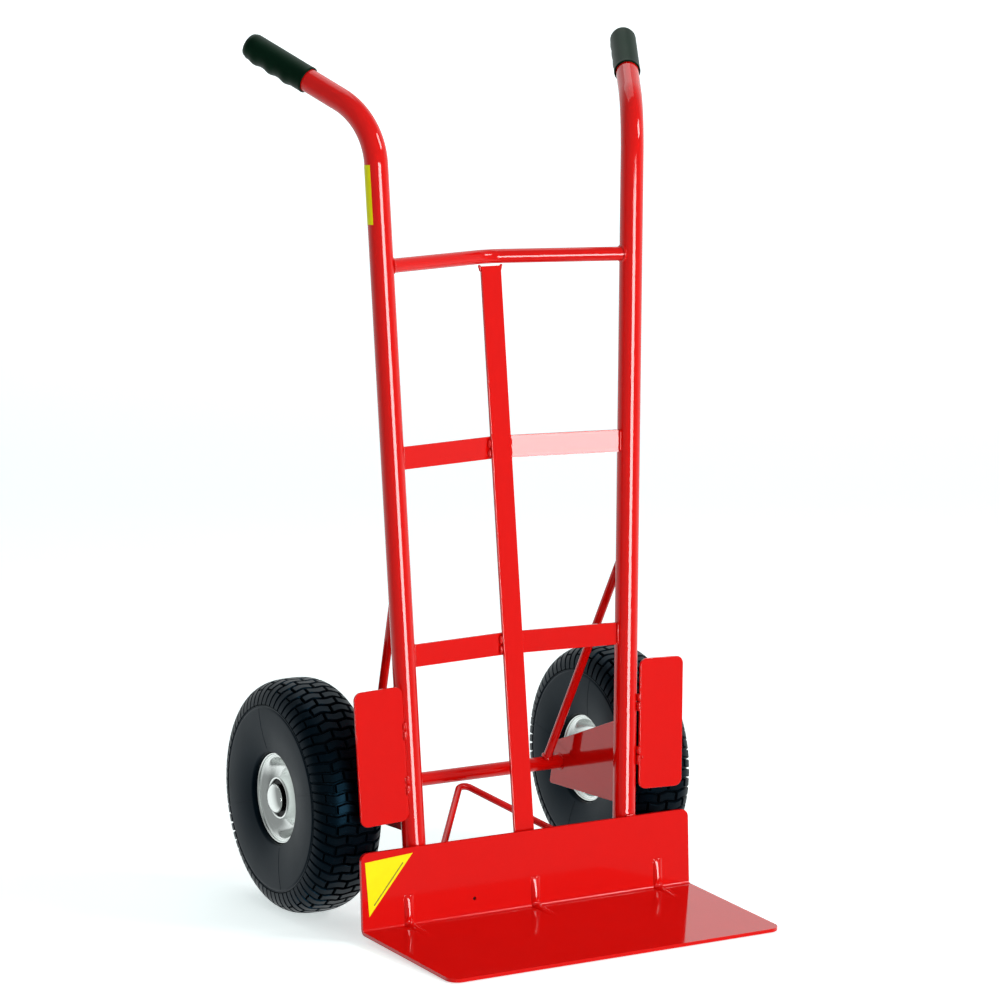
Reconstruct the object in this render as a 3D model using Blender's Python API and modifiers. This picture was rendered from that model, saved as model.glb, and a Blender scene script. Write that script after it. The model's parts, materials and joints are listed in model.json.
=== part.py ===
"""Two-wheeled hand truck with pneumatic tyres, a folded toe plate and splayed handles.

Blender 4.5, metres, +Z up. X runs across the truck, -Y points to the load side and +Y to the
user. The truck stands on its two tyres and on the front edge of its toe plate, at Z = 0.
"""

import math

import bmesh
import bpy
from mathutils import Matrix, Vector

# ---------------------------------------------------------------- driving dimensions
GAP = 0.0003                        # clearance between pieces that touch

LEAN = math.radians(2.4)            # the frame leans back from the vertical
SPLAY = math.radians(2.0)           # each upright spreads outwards towards the top

TUBE_RADIUS = 0.0130
TUBE_WALL = 0.0018
FOOT_HALF_SPACING = 0.1325          # upright centre to middle plane, at the foot
FOOT_UP = 0.012                     # lower end of the uprights, measured up the frame
BEND_UP = 0.840                     # where the handle bend begins
BEND_RADIUS = 0.080
BEND_ANGLE = math.radians(61.4)
HANDLE_OUTWARD = math.radians(27.6)  # the bend plane turns outwards by this much
HANDLE_STRAIGHT = 0.130

GRIP_RADIUS = TUBE_RADIUS + 0.002
GRIP_LENGTH = 0.088
GRIP_END_WALL = 0.0035
GRIP_DOME = 0.009

SHEET = 0.004                       # toe plate thickness
TOE_REACH = 0.191
HEEL_RISE = 0.007                   # underside of the bend above the floor
BACK_PLATE_UP = 0.097
BACK_PLATE_WIDTH = 2 * (FOOT_HALF_SPACING + 0.0785)
TOE_FRONT_WIDTH = BACK_PLATE_WIDTH - 0.005
FOLD_RADIUS = 0.003                 # inside radius
BACK_CORNER_RADIUS = 0.009
TOE_CORNER_RADIUS = 0.014
DART_SPACING = 0.3815 * BACK_PLATE_WIDTH
DART_OFFSET = 0.008                 # the row of darts sits a little to the right
DART_REACH = 0.032
DART_HALF_WIDTH = 0.008
DART_DEPTH = 0.0065
SMALL_HOLE_X = -0.0706
SMALL_HOLE_UP = 0.030
SMALL_HOLE_RADIUS = 0.002

TOP_BAR_RADIUS = 0.0080
TOP_BAR_UP = 0.7307
TOP_BAR_BOW = 0.0483
TOP_BAR_BEND_RADIUS = 0.060
FLAT_BAR_HEIGHT = 0.025
FLAT_BAR_THICKNESS = 0.004
FLAT_BAR_BEND_RADIUS = 0.030
MIDDLE_BAR_UP = 0.522
LOWER_BAR_UP = 0.3045

STRAP_WIDTH = 0.025
STRAP_BEFORE_BAR = 0.008            # its top is ahead of the top bar's corner
STRAP_THICKNESS = 0.004
STRAP_FOOT_UP = 0.040

GUARD_WIDTH = 0.060
GUARD_HEIGHT = 0.149
GUARD_THICKNESS = 0.003
GUARD_FOOT_UP = 0.1258
GUARD_BACK = 0.0055                 # guard's front face behind the back plate's front face
GUARD_CORNER_RADIUS = 0.009

TYRE_RADIUS = 0.130
TYRE_WIDTH = 0.085
TYRE_WALL = 0.007
TYRE_CROWN_HALF = 0.038             # from the widest place out to the tread
# The sidewall stands proud of the rim: distance beyond the rim's edge, and in from the full
# half width.
TYRE_SIDEWALL = ((0.0297, 0.0001), (0.0177, 0.0012), (0.0097, 0.0027), (0.0052, 0.0046),
                 (0.0022, 0.0078))
AXLE_HEIGHT = TYRE_RADIUS
AXLE_BACK = TYRE_RADIUS + 0.0307    # axle behind the heel: the tyres clear the guards
BRACKET_X = FOOT_HALF_SPACING + AXLE_HEIGHT * math.tan(SPLAY)
WHEEL_HALF_TRACK = BRACKET_X + 0.064
AXLE_RADIUS = 0.008

BRACKET_THICKNESS = 0.004
BRACKET_FRONT_TOP = AXLE_HEIGHT + 0.0725
BRACKET_FRONT_BOTTOM = AXLE_HEIGHT - 0.0222
BRACKET_REAR_TOP = (0.0094, 0.0232)      # behind and above the axle's centre
BRACKET_REAR_BOTTOM = (0.0234, -0.0297)
BRACKET_CORNER_RADIUS = 0.003

BRACE_RADIUS = 0.005
BRACE_TOP_UP = 0.382
BRACE_FOOT_X = BRACKET_X - 0.0220

STAY_RADIUS = 0.004
STAY_FOOT_X = FOOT_HALF_SPACING - TUBE_RADIUS
STAY_FOOT_UP = 0.045
STAY_BEND_RADIUS = 0.010

# Wheel parts. Distances along the axle are from the wheel's middle plane, outwards.
RIM_RADIUS = 0.0503
RIM_LIP_OUT = 0.031
RIM_SHEET = 0.0016
BEAD_SEAT_RADIUS = 0.0455
BARREL_RADIUS = 0.0425
DISC_OUT = 0.013
BEARING_RADIUS = AXLE_RADIUS + 0.0095
HUB_TUBE_RADIUS = BEARING_RADIUS + 0.0023
HUB_TUBE_OUT = 0.0302
HUB_COLLAR_RADIUS = HUB_TUBE_RADIUS + 0.0018
BEARING_WIDTH = 0.011
BEARING_OUT = 0.0265                # outer face of each bearing
VALVE_RADIUS = 0.0038
VALVE_FROM_AXLE = HUB_COLLAR_RADIUS + 0.0059
VALVE_OUT = 0.0285
VALVE_BEND_RADIUS = 0.0050
VALVE_BARREL_OUT = 0.005
WASHER_RADIUS = AXLE_RADIUS + 0.0065
WASHER_THICKNESS = 0.0016
SLEEVE_RADIUS = AXLE_RADIUS + 0.003
CAP_RADIUS = AXLE_RADIUS + 0.0078
CAP_OUT = 0.0405                    # tip of the domed cap
CAP_SHEET = 0.0010
AXLE_END_OUT = 0.0345

COARSE_TURN = 24                    # facets round small turned pieces
FINE_TURN = 36                      # facets round the tyre and rims

RED = ((0.60, 0.012, 0.008, 1.0), 0.22, 0.0)
GREEN = ((0.010, 0.034, 0.022, 1.0), 0.50, 0.0)
BLACK = ((0.010, 0.013, 0.016, 1.0), 0.62, 0.0)
ZINC = ((0.62, 0.64, 0.62, 1.0), 0.32, 1.0)
STEEL = ((0.45, 0.46, 0.47, 1.0), 0.35, 1.0)

# ---------------------------------------------------------------- scene and small helpers
for old in list(bpy.data.objects):
    bpy.data.objects.remove(old)

truck = bpy.data.collections.new("hand_truck")
cutters = bpy.data.collections.new("cutters")
bpy.context.scene.collection.children.link(truck)
bpy.context.scene.collection.children.link(cutters)


def make_material(name, look):
    colour, roughness, metallic = look
    material = bpy.data.materials.new(name)
    material.use_nodes = True
    shader = material.node_tree.nodes["Principled BSDF"]
    shader.inputs["Base Color"].default_value = colour
    shader.inputs["Roughness"].default_value = roughness
    shader.inputs["Metallic"].default_value = metallic
    material.diffuse_color = colour
    return material


red_paint = make_material("red_paint", RED)
green_rubber = make_material("green_rubber", GREEN)
tyre_rubber = make_material("tyre_rubber", BLACK)
zinc = make_material("zinc_plate", ZINC)
plain_steel = make_material("plain_steel", STEEL)


def add_empty(name, location, parent=None):
    empty = bpy.data.objects.new(name, None)
    empty.location = location
    empty.parent = parent
    truck.objects.link(empty)
    return empty


def add_object(name, data, material, parent, collection=truck):
    obj = bpy.data.objects.new(name, data)
    obj.parent = parent
    if material:
        data.materials.append(material)
    collection.objects.link(obj)
    return obj


def smooth(obj, degrees=35.0):
    obj.data.shade_smooth()
    obj.data.set_sharp_from_angle(angle=math.radians(degrees))
    return obj


def along(direction, up=Vector((0, 0, 1))):
    """Rotation that turns local Z to direction, with local Y as near as it can be to up."""
    z = Vector(direction).normalized()
    x = Vector(up).cross(z)
    if x.length < 1e-6:
        x = Vector((1, 0, 0))
    x.normalize()
    return Matrix((x, z.cross(x), z)).transposed().to_4x4()


def on_frame(x, up, back):
    """A point of the leaning frame: up it, and back from the front face of the back plate."""
    return Vector((x, up * math.sin(LEAN) + back * math.cos(LEAN),
                   up * math.cos(LEAN) - back * math.sin(LEAN)))


UP_FRAME = on_frame(0, 1, 0)
BACKWARDS = on_frame(0, 0, 1)
TUBE_BACK = SHEET + GAP + TUBE_RADIUS      # upright centres, behind the front face


def upright_x(up):
    return FOOT_HALF_SPACING + up * math.tan(SPLAY)


def fillet(points, radius, steps):
    """The polyline with each inner corner replaced by an arc of the given radius."""
    path = [points[0]]
    for before, corner, after in zip(points, points[1:], points[2:]):
        a = (before - corner).normalized()
        b = (after - corner).normalized()
        half = a.angle(b) / 2
        centre = corner + (a + b).normalized() * radius / math.sin(half)
        start = corner + a * radius / math.tan(half) - centre
        end = corner + b * radius / math.tan(half) - centre
        sweep = start.angle(end)
        for step in range(steps + 1):
            t = step / steps
            spoke = start * math.sin((1 - t) * sweep) + end * math.sin(t * sweep)
            path.append(centre + spoke / math.sin(sweep))
    path.append(points[-1])
    return path


def curve_from(name, paths, cyclic=False, flat=False):
    curve = bpy.data.curves.new(name, "CURVE")
    curve.dimensions = "2D" if flat else "3D"
    for path in paths:
        spline = curve.splines.new("POLY")
        spline.points.add(len(path) - 1)
        for point, place in zip(spline.points, path):
            point.co = (*place, 1.0) if len(place) == 3 else (*place, 0.0, 1.0)
        spline.use_cyclic_u = cyclic
    return curve


def as_mesh(obj):
    """Replaces a curve object by the mesh that it makes, with its caps welded."""
    bpy.context.view_layer.update()
    graph = bpy.context.evaluated_depsgraph_get()
    mesh = bpy.data.meshes.new_from_object(obj.evaluated_get(graph))
    bm = bmesh.new()
    bm.from_mesh(mesh)
    bmesh.ops.remove_doubles(bm, verts=bm.verts, dist=1e-6)
    bmesh.ops.recalc_face_normals(bm, faces=bm.faces)
    bm.to_mesh(mesh)
    bm.free()
    name, parent, placed = obj.name, obj.parent, obj.matrix_basis.copy()
    bpy.data.objects.remove(obj)
    made = bpy.data.objects.new(name, mesh)
    made.parent = parent
    made.matrix_basis = placed
    truck.objects.link(made)
    return made


def rod(name, path, radius, material, parent, sides_step=2):
    curve = curve_from(name, [path])
    curve.bevel_depth = radius
    curve.bevel_resolution = sides_step
    curve.use_fill_caps = True
    return smooth(as_mesh(add_object(name, curve, material, parent)))


def plate(name, outlines, thickness, material, parent):
    """A flat sheet: closed outlines in its own XY plane, the second ones being holes."""
    curve = curve_from(name, outlines, cyclic=True, flat=True)
    curve.fill_mode = "BOTH"
    curve.extrude = thickness / 2
    return as_mesh(add_object(name, curve, material, parent))


def turned(name, profile, material, parent, steps=COARSE_TURN, closed=True):
    """Turns a profile of (radius, height) pairs round local Z. It runs down its outer side."""
    mesh = bpy.data.meshes.new(name)
    points = [(radius, 0.0, height) for radius, height in profile]
    count = len(points)
    edges = [(i, (i + 1) % count) for i in range(count if closed else count - 1)]
    mesh.from_pydata(points, edges, [])
    obj = add_object(name, mesh, material, parent)
    screw = obj.modifiers.new("turn", "SCREW")
    screw.axis = "Z"
    screw.steps = screw.render_steps = steps
    screw.use_merge_vertices = True
    screw.merge_threshold = 0.00001
    screw.use_smooth_shade = True
    return obj


def rounded(points, radius, steps=4):
    """A closed outline of 2D corners, each rounded by the same radius."""
    loop = [Vector((*point, 0.0)) for point in points]
    path = fillet([loop[-1], *loop, loop[0]], radius, steps)[1:-1]
    return [(p.x, p.y) for p in path]


def circle(centre, radius, steps=COARSE_TURN):
    return [(centre[0] + radius * math.cos(2 * math.pi * i / steps),
             centre[1] + radius * math.sin(2 * math.pi * i / steps)) for i in range(steps)]


def cut(obj, cutter):
    cutter.hide_render = True
    cutter.display_type = "WIRE"
    boolean = obj.modifiers.new("cut", "BOOLEAN")
    boolean.operation = "DIFFERENCE"
    boolean.object = cutter
    return obj


def cylinder_cutter(name, start, end, radius, parent, segments=16):
    start, end = Vector(start), Vector(end)
    mesh = bpy.data.meshes.new(name)
    bm = bmesh.new()
    bmesh.ops.create_cone(bm, cap_ends=True, segments=segments, radius1=radius,
                          radius2=radius, depth=(end - start).length)
    bm.to_mesh(mesh)
    bm.free()
    obj = add_object(name, mesh, None, parent, cutters)
    obj.matrix_basis = Matrix.Translation((start + end) / 2) @ along(end - start)
    return obj


# The origin of the object is under the middle of its box: the heel stands in front of it.
REACH_BEHIND = AXLE_BACK + TYRE_RADIUS
HEEL_Y = (TOE_REACH - REACH_BEHIND) / 2
heel = add_empty("heel", (0, HEEL_Y, 0))

# ---------------------------------------------------------------- uprights and grips
SIDES = (("left", -1), ("right", 1))


def make_upright(side, sign):
    """A hollow tube: straight up the frame, one bend, and a straight handle."""
    foot = on_frame(sign * upright_x(FOOT_UP), FOOT_UP, TUBE_BACK)
    bend = on_frame(sign * upright_x(BEND_UP), BEND_UP, TUBE_BACK)
    rise = (bend - foot).normalized()
    turn = BACKWARDS * math.cos(HANDLE_OUTWARD)
    turn += Vector((sign, 0, 0)) * math.sin(HANDLE_OUTWARD)
    turn = (turn - rise * turn.dot(rise)).normalized()
    run = BEND_RADIUS * math.tan(BEND_ANGLE / 2)
    corner = bend + rise * run
    handle = rise * math.cos(BEND_ANGLE) + turn * math.sin(BEND_ANGLE)
    end = corner + handle * (run + HANDLE_STRAIGHT)
    curve = curve_from(f"{side}_upright", [fillet([foot, corner, end], BEND_RADIUS, 9)])
    curve.bevel_depth = TUBE_RADIUS
    curve.bevel_resolution = 6
    tube = as_mesh(add_object(f"{side}_upright", curve, red_paint, heel))
    wall = tube.modifiers.new("wall", "SOLIDIFY")
    wall.thickness = TUBE_WALL
    wall.offset = -1.0
    smooth(tube)
    return end, handle


def make_grip(side, end, handle):
    """A closed sleeve pushed over the end of the handle."""
    bore = TUBE_RADIUS + GAP
    top = GRIP_END_WALL + GAP
    shoulder = top - GRIP_DOME
    dome = [(GRIP_RADIUS * math.sin(math.radians(a)),
             shoulder + GRIP_DOME * math.cos(math.radians(a))) for a in range(0, 91, 18)]
    mouth = top - GRIP_LENGTH
    profile = [(0.0, top), *dome[1:], (GRIP_RADIUS, mouth), (bore, mouth), (bore, GAP), (0.0, GAP)]
    grip = turned(f"{side}_grip", profile, green_rubber, heel, closed=False)
    grip.matrix_basis = Matrix.Translation(end) @ along(handle)


tube_cutters = {}
for side, sign in SIDES:
    handle_end, handle_axis = make_upright(side, sign)
    make_grip(side, handle_end, handle_axis)
    tube_ends = [on_frame(sign * upright_x(up), up, TUBE_BACK) for up in (0, BEND_UP)]
    tube_cutters[side] = cylinder_cutter(f"{side}_tube_room", *tube_ends, TUBE_RADIUS + GAP,
                                         heel, 32)


# ---------------------------------------------------------------- cross bars and centre strap
def bar_end_x(up, half_height):
    return upright_x(up - half_height) - TUBE_RADIUS - GAP


strap_top_up = TOP_BAR_UP - TOP_BAR_RADIUS - GAP
strap_top_back = TUBE_BACK + TOP_BAR_BOW - STRAP_BEFORE_BAR - STRAP_THICKNESS / 2
strap_foot_back = SHEET + GAP


def strap_back(up):
    """How far behind the back plate's front face the strap's own front face is."""
    share = (up - STRAP_FOOT_UP) / (strap_top_up - STRAP_FOOT_UP)
    return strap_foot_back + share * (strap_top_back - strap_foot_back)


def make_top_bar():
    """A round rod bowed backwards, its ends coped to the uprights."""
    end_x = upright_x(TOP_BAR_UP) - TUBE_RADIUS / 2
    middle = on_frame(0, TOP_BAR_UP, TUBE_BACK) + Vector((0, TOP_BAR_BOW, 0))
    ends = [on_frame(sign * end_x, TOP_BAR_UP, TUBE_BACK) for _, sign in SIDES]
    path = fillet([ends[0], middle, ends[1]], TOP_BAR_BEND_RADIUS, 6)
    bar = rod("top_cross_bar", path, TOP_BAR_RADIUS, red_paint, heel, 4)
    for cutter in tube_cutters.values():
        cut(bar, cutter)


def make_flat_bar(name, up):
    """A strip on edge, bent back at its middle to pass behind the strap."""
    end_x = bar_end_x(up, FLAT_BAR_HEIGHT / 2)
    strap_rear = strap_back(up + FLAT_BAR_HEIGHT / 2) + STRAP_THICKNESS
    beside_strap = strap_rear + GAP * 2 + FLAT_BAR_THICKNESS / 2 - TUBE_BACK
    apex = beside_strap / (1 - STRAP_WIDTH / 2 / end_x)
    path = [Vector((-end_x, 0, 0)), Vector((0, apex, 0)), Vector((end_x, 0, 0))]
    curve = curve_from(name, [fillet(path, FLAT_BAR_BEND_RADIUS, 4)], flat=True)
    curve.extrude = FLAT_BAR_HEIGHT / 2
    bar = add_object(name, curve, red_paint, heel)
    bar.matrix_basis = (Matrix.Translation(on_frame(0, up, TUBE_BACK))
                        @ Matrix.Rotation(-LEAN, 4, "X"))
    bar = as_mesh(bar)
    thick = bar.modifiers.new("thickness", "SOLIDIFY")
    thick.thickness = FLAT_BAR_THICKNESS
    thick.offset = 0.0
    smooth(bar)


def make_strap():
    top = on_frame(0, strap_top_up, strap_top_back + STRAP_THICKNESS / 2)
    foot = on_frame(0, STRAP_FOOT_UP, strap_foot_back + STRAP_THICKNESS / 2)
    mesh = bpy.data.meshes.new("centre_strap")
    bm = bmesh.new()
    bmesh.ops.create_cube(bm, size=1.0)
    bmesh.ops.scale(bm, vec=(STRAP_WIDTH, STRAP_THICKNESS, (top - foot).length), verts=bm.verts)
    bm.to_mesh(mesh)
    bm.free()
    strap = add_object("centre_strap", mesh, red_paint, heel)
    strap.matrix_basis = Matrix.Translation((top + foot) / 2) @ along(top - foot, BACKWARDS)


make_top_bar()
make_flat_bar("middle_cross_bar", MIDDLE_BAR_UP)
make_flat_bar("lower_cross_bar", LOWER_BAR_UP)
make_strap()


# ---------------------------------------------------------------- toe plate
def make_toe_plate():
    """One sheet, cut as a flat blank with round corners and folded once.

    The blank's second coordinate runs from 0 at the lower end of the back plate's flat, up to
    the top edge, and down through the fold and along the toe to the front edge.
    """
    dip = math.asin(HEEL_RISE / TOE_REACH)
    toe_way = Vector((0, -math.cos(dip), -math.sin(dip)))
    corner_z = SHEET + HEEL_RISE
    corner = on_frame(0, corner_z / math.cos(LEAN), 0)
    turn = math.pi / 2 - LEAN - dip
    run = FOLD_RADIUS * math.tan(turn / 2)
    arc = FOLD_RADIUS * turn
    back_top = BACK_PLATE_UP - corner_z / math.cos(LEAN) - run
    toe_front = -(arc + (TOE_REACH + corner.y) / math.cos(dip) - run)
    fold_centre = corner + UP_FRAME * run - BACKWARDS * FOLD_RADIUS

    def folded(x, s):
        """The point of the finished plate, and the way its upper face looks there."""
        if s >= 0:
            return corner + UP_FRAME * (run + s) + Vector((x, 0, 0)), -BACKWARDS
        if s <= -arc:
            place = corner + toe_way * (run - s - arc)
            return place + Vector((x, 0, 0)), toe_way.cross(Vector((-1, 0, 0)))
        angle = -s / FOLD_RADIUS
        spoke = BACKWARDS * math.cos(angle) - UP_FRAME * math.sin(angle)
        return fold_centre + spoke * FOLD_RADIUS + Vector((x, 0, 0)), -spoke

    half_back, half_front = BACK_PLATE_WIDTH / 2, TOE_FRONT_WIDTH / 2
    outline = [Vector((-half_back, -arc, 0)), Vector((-half_front, toe_front, 0)),
               Vector((half_front, toe_front, 0)), Vector((half_back, -arc, 0)),
               Vector((half_back, back_top, 0)), Vector((-half_back, back_top, 0))]
    front = fillet(outline[0:4], TOE_CORNER_RADIUS, 5)
    back = fillet([outline[3], *outline[4:6], outline[0]], BACK_CORNER_RADIUS, 5)
    bm = bmesh.new()
    bm.faces.new([bm.verts.new(point) for point in front + back[1:-1]])

    def slice_at(point, normal):
        everything = bm.verts[:] + bm.edges[:] + bm.faces[:]
        bmesh.ops.bisect_plane(bm, geom=everything, plane_co=point, plane_no=normal, dist=1e-7)

    dart_xs = [DART_OFFSET + i * DART_SPACING for i in (-1, 0, 1)]
    for x in dart_xs:
        for share in (-1, -0.5, 0, 0.5, 1):
            slice_at((x + share * DART_HALF_WIDTH, 0, 0), (1, 0, 0))
    for share in (0, 0.3, 0.65, 1):
        slice_at((0, share * DART_REACH, 0), (0, 1, 0))
        slice_at((0, -arc - share * DART_REACH, 0), (0, 1, 0))
    for share in (0.25, 0.5, 0.75):
        slice_at((0, -arc * share, 0), (0, 1, 0))

    inner_corner = (-BACKWARDS + UP_FRAME).normalized()
    for vert in bm.verts:
        x, s = vert.co.x, vert.co.y
        place, _ = folded(x, s)
        away = s if s > 0 else max(-arc - s, 0.0)
        for dart_x in dart_xs:
            across = abs(x - dart_x) / DART_HALF_WIDTH
            if across < 1 and away < DART_REACH:
                crown = math.cos(across * math.pi / 2) ** 2
                place += inner_corner * DART_DEPTH * crown * (1 - (away / DART_REACH) ** 1.5)
        vert.co = place
    bmesh.ops.recalc_face_normals(bm, faces=bm.faces)
    bm.normal_update()
    flat = max(bm.faces, key=lambda face: face.calc_area())
    if flat.normal.dot(folded(0, flat.calc_center_median().z)[1]) < 0:
        bmesh.ops.reverse_faces(bm, faces=bm.faces)
    mesh = bpy.data.meshes.new("toe_plate")
    bm.to_mesh(mesh)
    bm.free()
    toe = add_object("toe_plate", mesh, red_paint, heel)
    thick = toe.modifiers.new("thickness", "SOLIDIFY")
    thick.thickness = SHEET
    thick.offset = -1.0
    thick.use_even_offset = True
    hole = on_frame(SMALL_HOLE_X, SMALL_HOLE_UP, 0)
    drill = BACKWARDS * SHEET * 2
    cut(toe, cylinder_cutter("small_hole", hole - drill, hole + drill, SMALL_HOLE_RADIUS, heel))
    smooth(toe)


make_toe_plate()


# ---------------------------------------------------------------- wheel guards
def make_guard(side, sign):
    """A flat plate with round corners, welded on edge to the front of the upright."""
    rear = GUARD_BACK + GUARD_THICKNESS
    inner = math.sqrt((TUBE_RADIUS + GAP) ** 2 - (TUBE_BACK - rear) ** 2)
    outline = rounded([(0, 0), (GUARD_WIDTH, 0), (GUARD_WIDTH, GUARD_HEIGHT), (0, GUARD_HEIGHT)],
                      GUARD_CORNER_RADIUS)
    outline = [(sign * x, y) for x, y in outline]
    guard = plate(f"{side}_guard", [outline], GUARD_THICKNESS, red_paint, heel)
    lean_way = (on_frame(sign * upright_x(1), 1, 0) - on_frame(sign * upright_x(0), 0, 0))
    lean_way.normalize()
    across = lean_way.cross(-BACKWARDS).normalized()
    turn = Matrix((across, lean_way, across.cross(lean_way))).transposed().to_4x4()
    corner_x = upright_x(GUARD_FOOT_UP) + inner / math.cos(SPLAY)
    place = on_frame(sign * corner_x, GUARD_FOOT_UP, GUARD_BACK + GUARD_THICKNESS / 2)
    guard.matrix_basis = Matrix.Translation(place) @ turn


for side, sign in SIDES:
    make_guard(side, sign)

# ---------------------------------------------------------------- axle, brackets, braces, stay
axle_centre = Vector((0, AXLE_BACK, AXLE_HEIGHT))


def make_axle():
    end_x = WHEEL_HALF_TRACK + AXLE_END_OUT
    path = [axle_centre + Vector((sign * end_x, 0, 0)) for _, sign in SIDES]
    rod("axle", path, AXLE_RADIUS, plain_steel, heel, 10)


def make_bracket(side, sign):
    """An upright cheek from the back of the tube to the axle, which passes through it."""
    touch = TUBE_BACK + TUBE_RADIUS + GAP
    reach = [on_frame(0, height / math.cos(LEAN), touch) for height in
             (BRACKET_FRONT_BOTTOM, BRACKET_FRONT_TOP)]
    corners = [(reach[0].y, reach[0].z),
               (AXLE_BACK + BRACKET_REAR_BOTTOM[0], AXLE_HEIGHT + BRACKET_REAR_BOTTOM[1]),
               (AXLE_BACK + BRACKET_REAR_TOP[0], AXLE_HEIGHT + BRACKET_REAR_TOP[1]),
               (reach[1].y, reach[1].z)]
    outline = rounded(corners, BRACKET_CORNER_RADIUS, 3)
    hole = circle((AXLE_BACK, AXLE_HEIGHT), AXLE_RADIUS + GAP)
    cheek = plate(f"{side}_axle_bracket", [outline, hole], BRACKET_THICKNESS, red_paint, heel)
    cheek.matrix_basis = (Matrix.Translation((sign * BRACKET_X, 0, 0))
                          @ Matrix(((0, 0, 1), (1, 0, 0), (0, 1, 0))).to_4x4())


def make_brace(side, sign):
    """A round bar from the back of the upright, coped to it, down to the top of the axle."""
    top_x = upright_x(BRACE_TOP_UP) - 0.002
    top = on_frame(sign * top_x, BRACE_TOP_UP, TUBE_BACK + TUBE_RADIUS)
    foot = axle_centre + Vector((sign * BRACE_FOOT_X, 0, 0))
    down = (foot - top).normalized()
    clear = AXLE_RADIUS + GAP + BRACE_RADIUS * math.hypot(down.x, down.y)
    foot -= down * clear / -down.z
    brace = rod(f"{side}_brace", [top - down * TUBE_RADIUS, foot], BRACE_RADIUS, red_paint,
                heel, 4)
    cut(brace, tube_cutters[side])


def make_stay():
    """A thin round bar bent to a V: its apex under the axle, its feet on the back plate."""
    feet = [on_frame(sign * STAY_FOOT_X, STAY_FOOT_UP, SHEET + STAY_RADIUS + GAP)
            for _, sign in SIDES]
    middle = (feet[0] + feet[1]) / 2
    slope = math.atan2(AXLE_HEIGHT - middle.z, AXLE_BACK - middle.y)
    clear = AXLE_RADIUS + STAY_RADIUS + GAP
    touch = axle_centre + Vector((0, math.sin(-slope - 0.35), -math.cos(slope - 0.35))) * clear
    leg = feet[1] - touch
    half = leg.angle(middle - touch)
    beyond = STAY_BEND_RADIUS * (1 / math.sin(half) - 1)
    apex = touch + (touch - middle).normalized() * beyond
    rod("toe_stay", fillet([feet[0], apex, feet[1]], STAY_BEND_RADIUS, 6), STAY_RADIUS,
        red_paint, heel, 3)


make_axle()
for side, sign in SIDES:
    make_bracket(side, sign)
    make_brace(side, sign)
make_stay()


# ---------------------------------------------------------------- wheels
def axle_frame(name, sign, parent=heel):
    """An empty at the wheel's middle, its Z pointing outwards along the axle."""
    empty = add_empty(name, axle_centre + Vector((sign * WHEEL_HALF_TRACK, 0, 0)), parent)
    empty.rotation_euler = (0, sign * math.pi / 2, 0)
    return empty


def ring(name, inner, outer, low, high, material, parent, steps=COARSE_TURN, chamfer=0.0):
    """A plain ring between two radii, with its four edges chamfered if asked."""
    c = chamfer
    profile = [(inner + c, high), (outer - c, high)]
    if c:
        profile += [(outer, high - c), (outer, low + c), (outer - c, low), (inner + c, low),
                    (inner, low + c), (inner, high - c)]
    else:
        profile += [(outer, low), (inner, low)]
    return turned(name, profile, material, parent, steps)


def superellipse(across, along_axis, power, start, end, steps):
    """Points of a rounded box's edge, as (outwards from its centre, along the axle)."""
    points = []
    for step in range(steps + 1):
        angle = start + (end - start) * step / steps
        c, s = math.cos(angle), math.sin(angle)
        points.append((across * math.copysign(abs(c) ** (2 / power), c),
                       along_axis * math.copysign(abs(s) ** (2 / power), s)))
    return points


def make_tyre(side, axis):
    """A carcass of even wall, open towards the rim between its two beads."""
    bead = BEAD_SEAT_RADIUS + GAP
    section_centre = (TYRE_RADIUS + bead) / 2
    outer_half = TYRE_RADIUS - section_centre
    open_angle = math.radians(148)
    crown = superellipse(TYRE_CROWN_HALF, TYRE_WIDTH / 2, 2.8, math.pi / 2, -math.pi / 2, 10)
    lip = RIM_LIP_OUT - RIM_SHEET - GAP
    wall = [(RIM_RADIUS + away, TYRE_WIDTH / 2 - inward) for away, inward in TYRE_SIDEWALL]
    wall += [(RIM_RADIUS + GAP, RIM_LIP_OUT), (RIM_RADIUS + GAP, lip), (bead + 0.0016, lip),
             (bead, lip - 0.006)]
    inner = superellipse(outer_half - TYRE_WALL, TYRE_WIDTH / 2 - TYRE_WALL, 2.3,
                         -open_angle, open_angle, 10)
    profile = [(TYRE_RADIUS - TYRE_CROWN_HALF + r, z) for r, z in crown]
    profile = wall[::-1] + profile + [(r, -z) for r, z in wall]
    hollow = [(max(section_centre + r, bead), z) for r, z in inner]
    turned(f"{side}_tyre", profile + hollow, tyre_rubber, axis, FINE_TURN)
    tube_half = outer_half - TYRE_WALL - 2 * GAP
    tube = superellipse(tube_half, TYRE_WIDTH / 2 - TYRE_WALL - 2 * GAP, 2.0,
                        math.pi, -math.pi, 12)[:-1]
    floor = BARREL_RADIUS + RIM_SHEET + GAP * 2
    turned(f"{side}_inner_tube", [(max(section_centre + r, floor), z) for r, z in tube],
           tyre_rubber, axis, COARSE_TURN)


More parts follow.
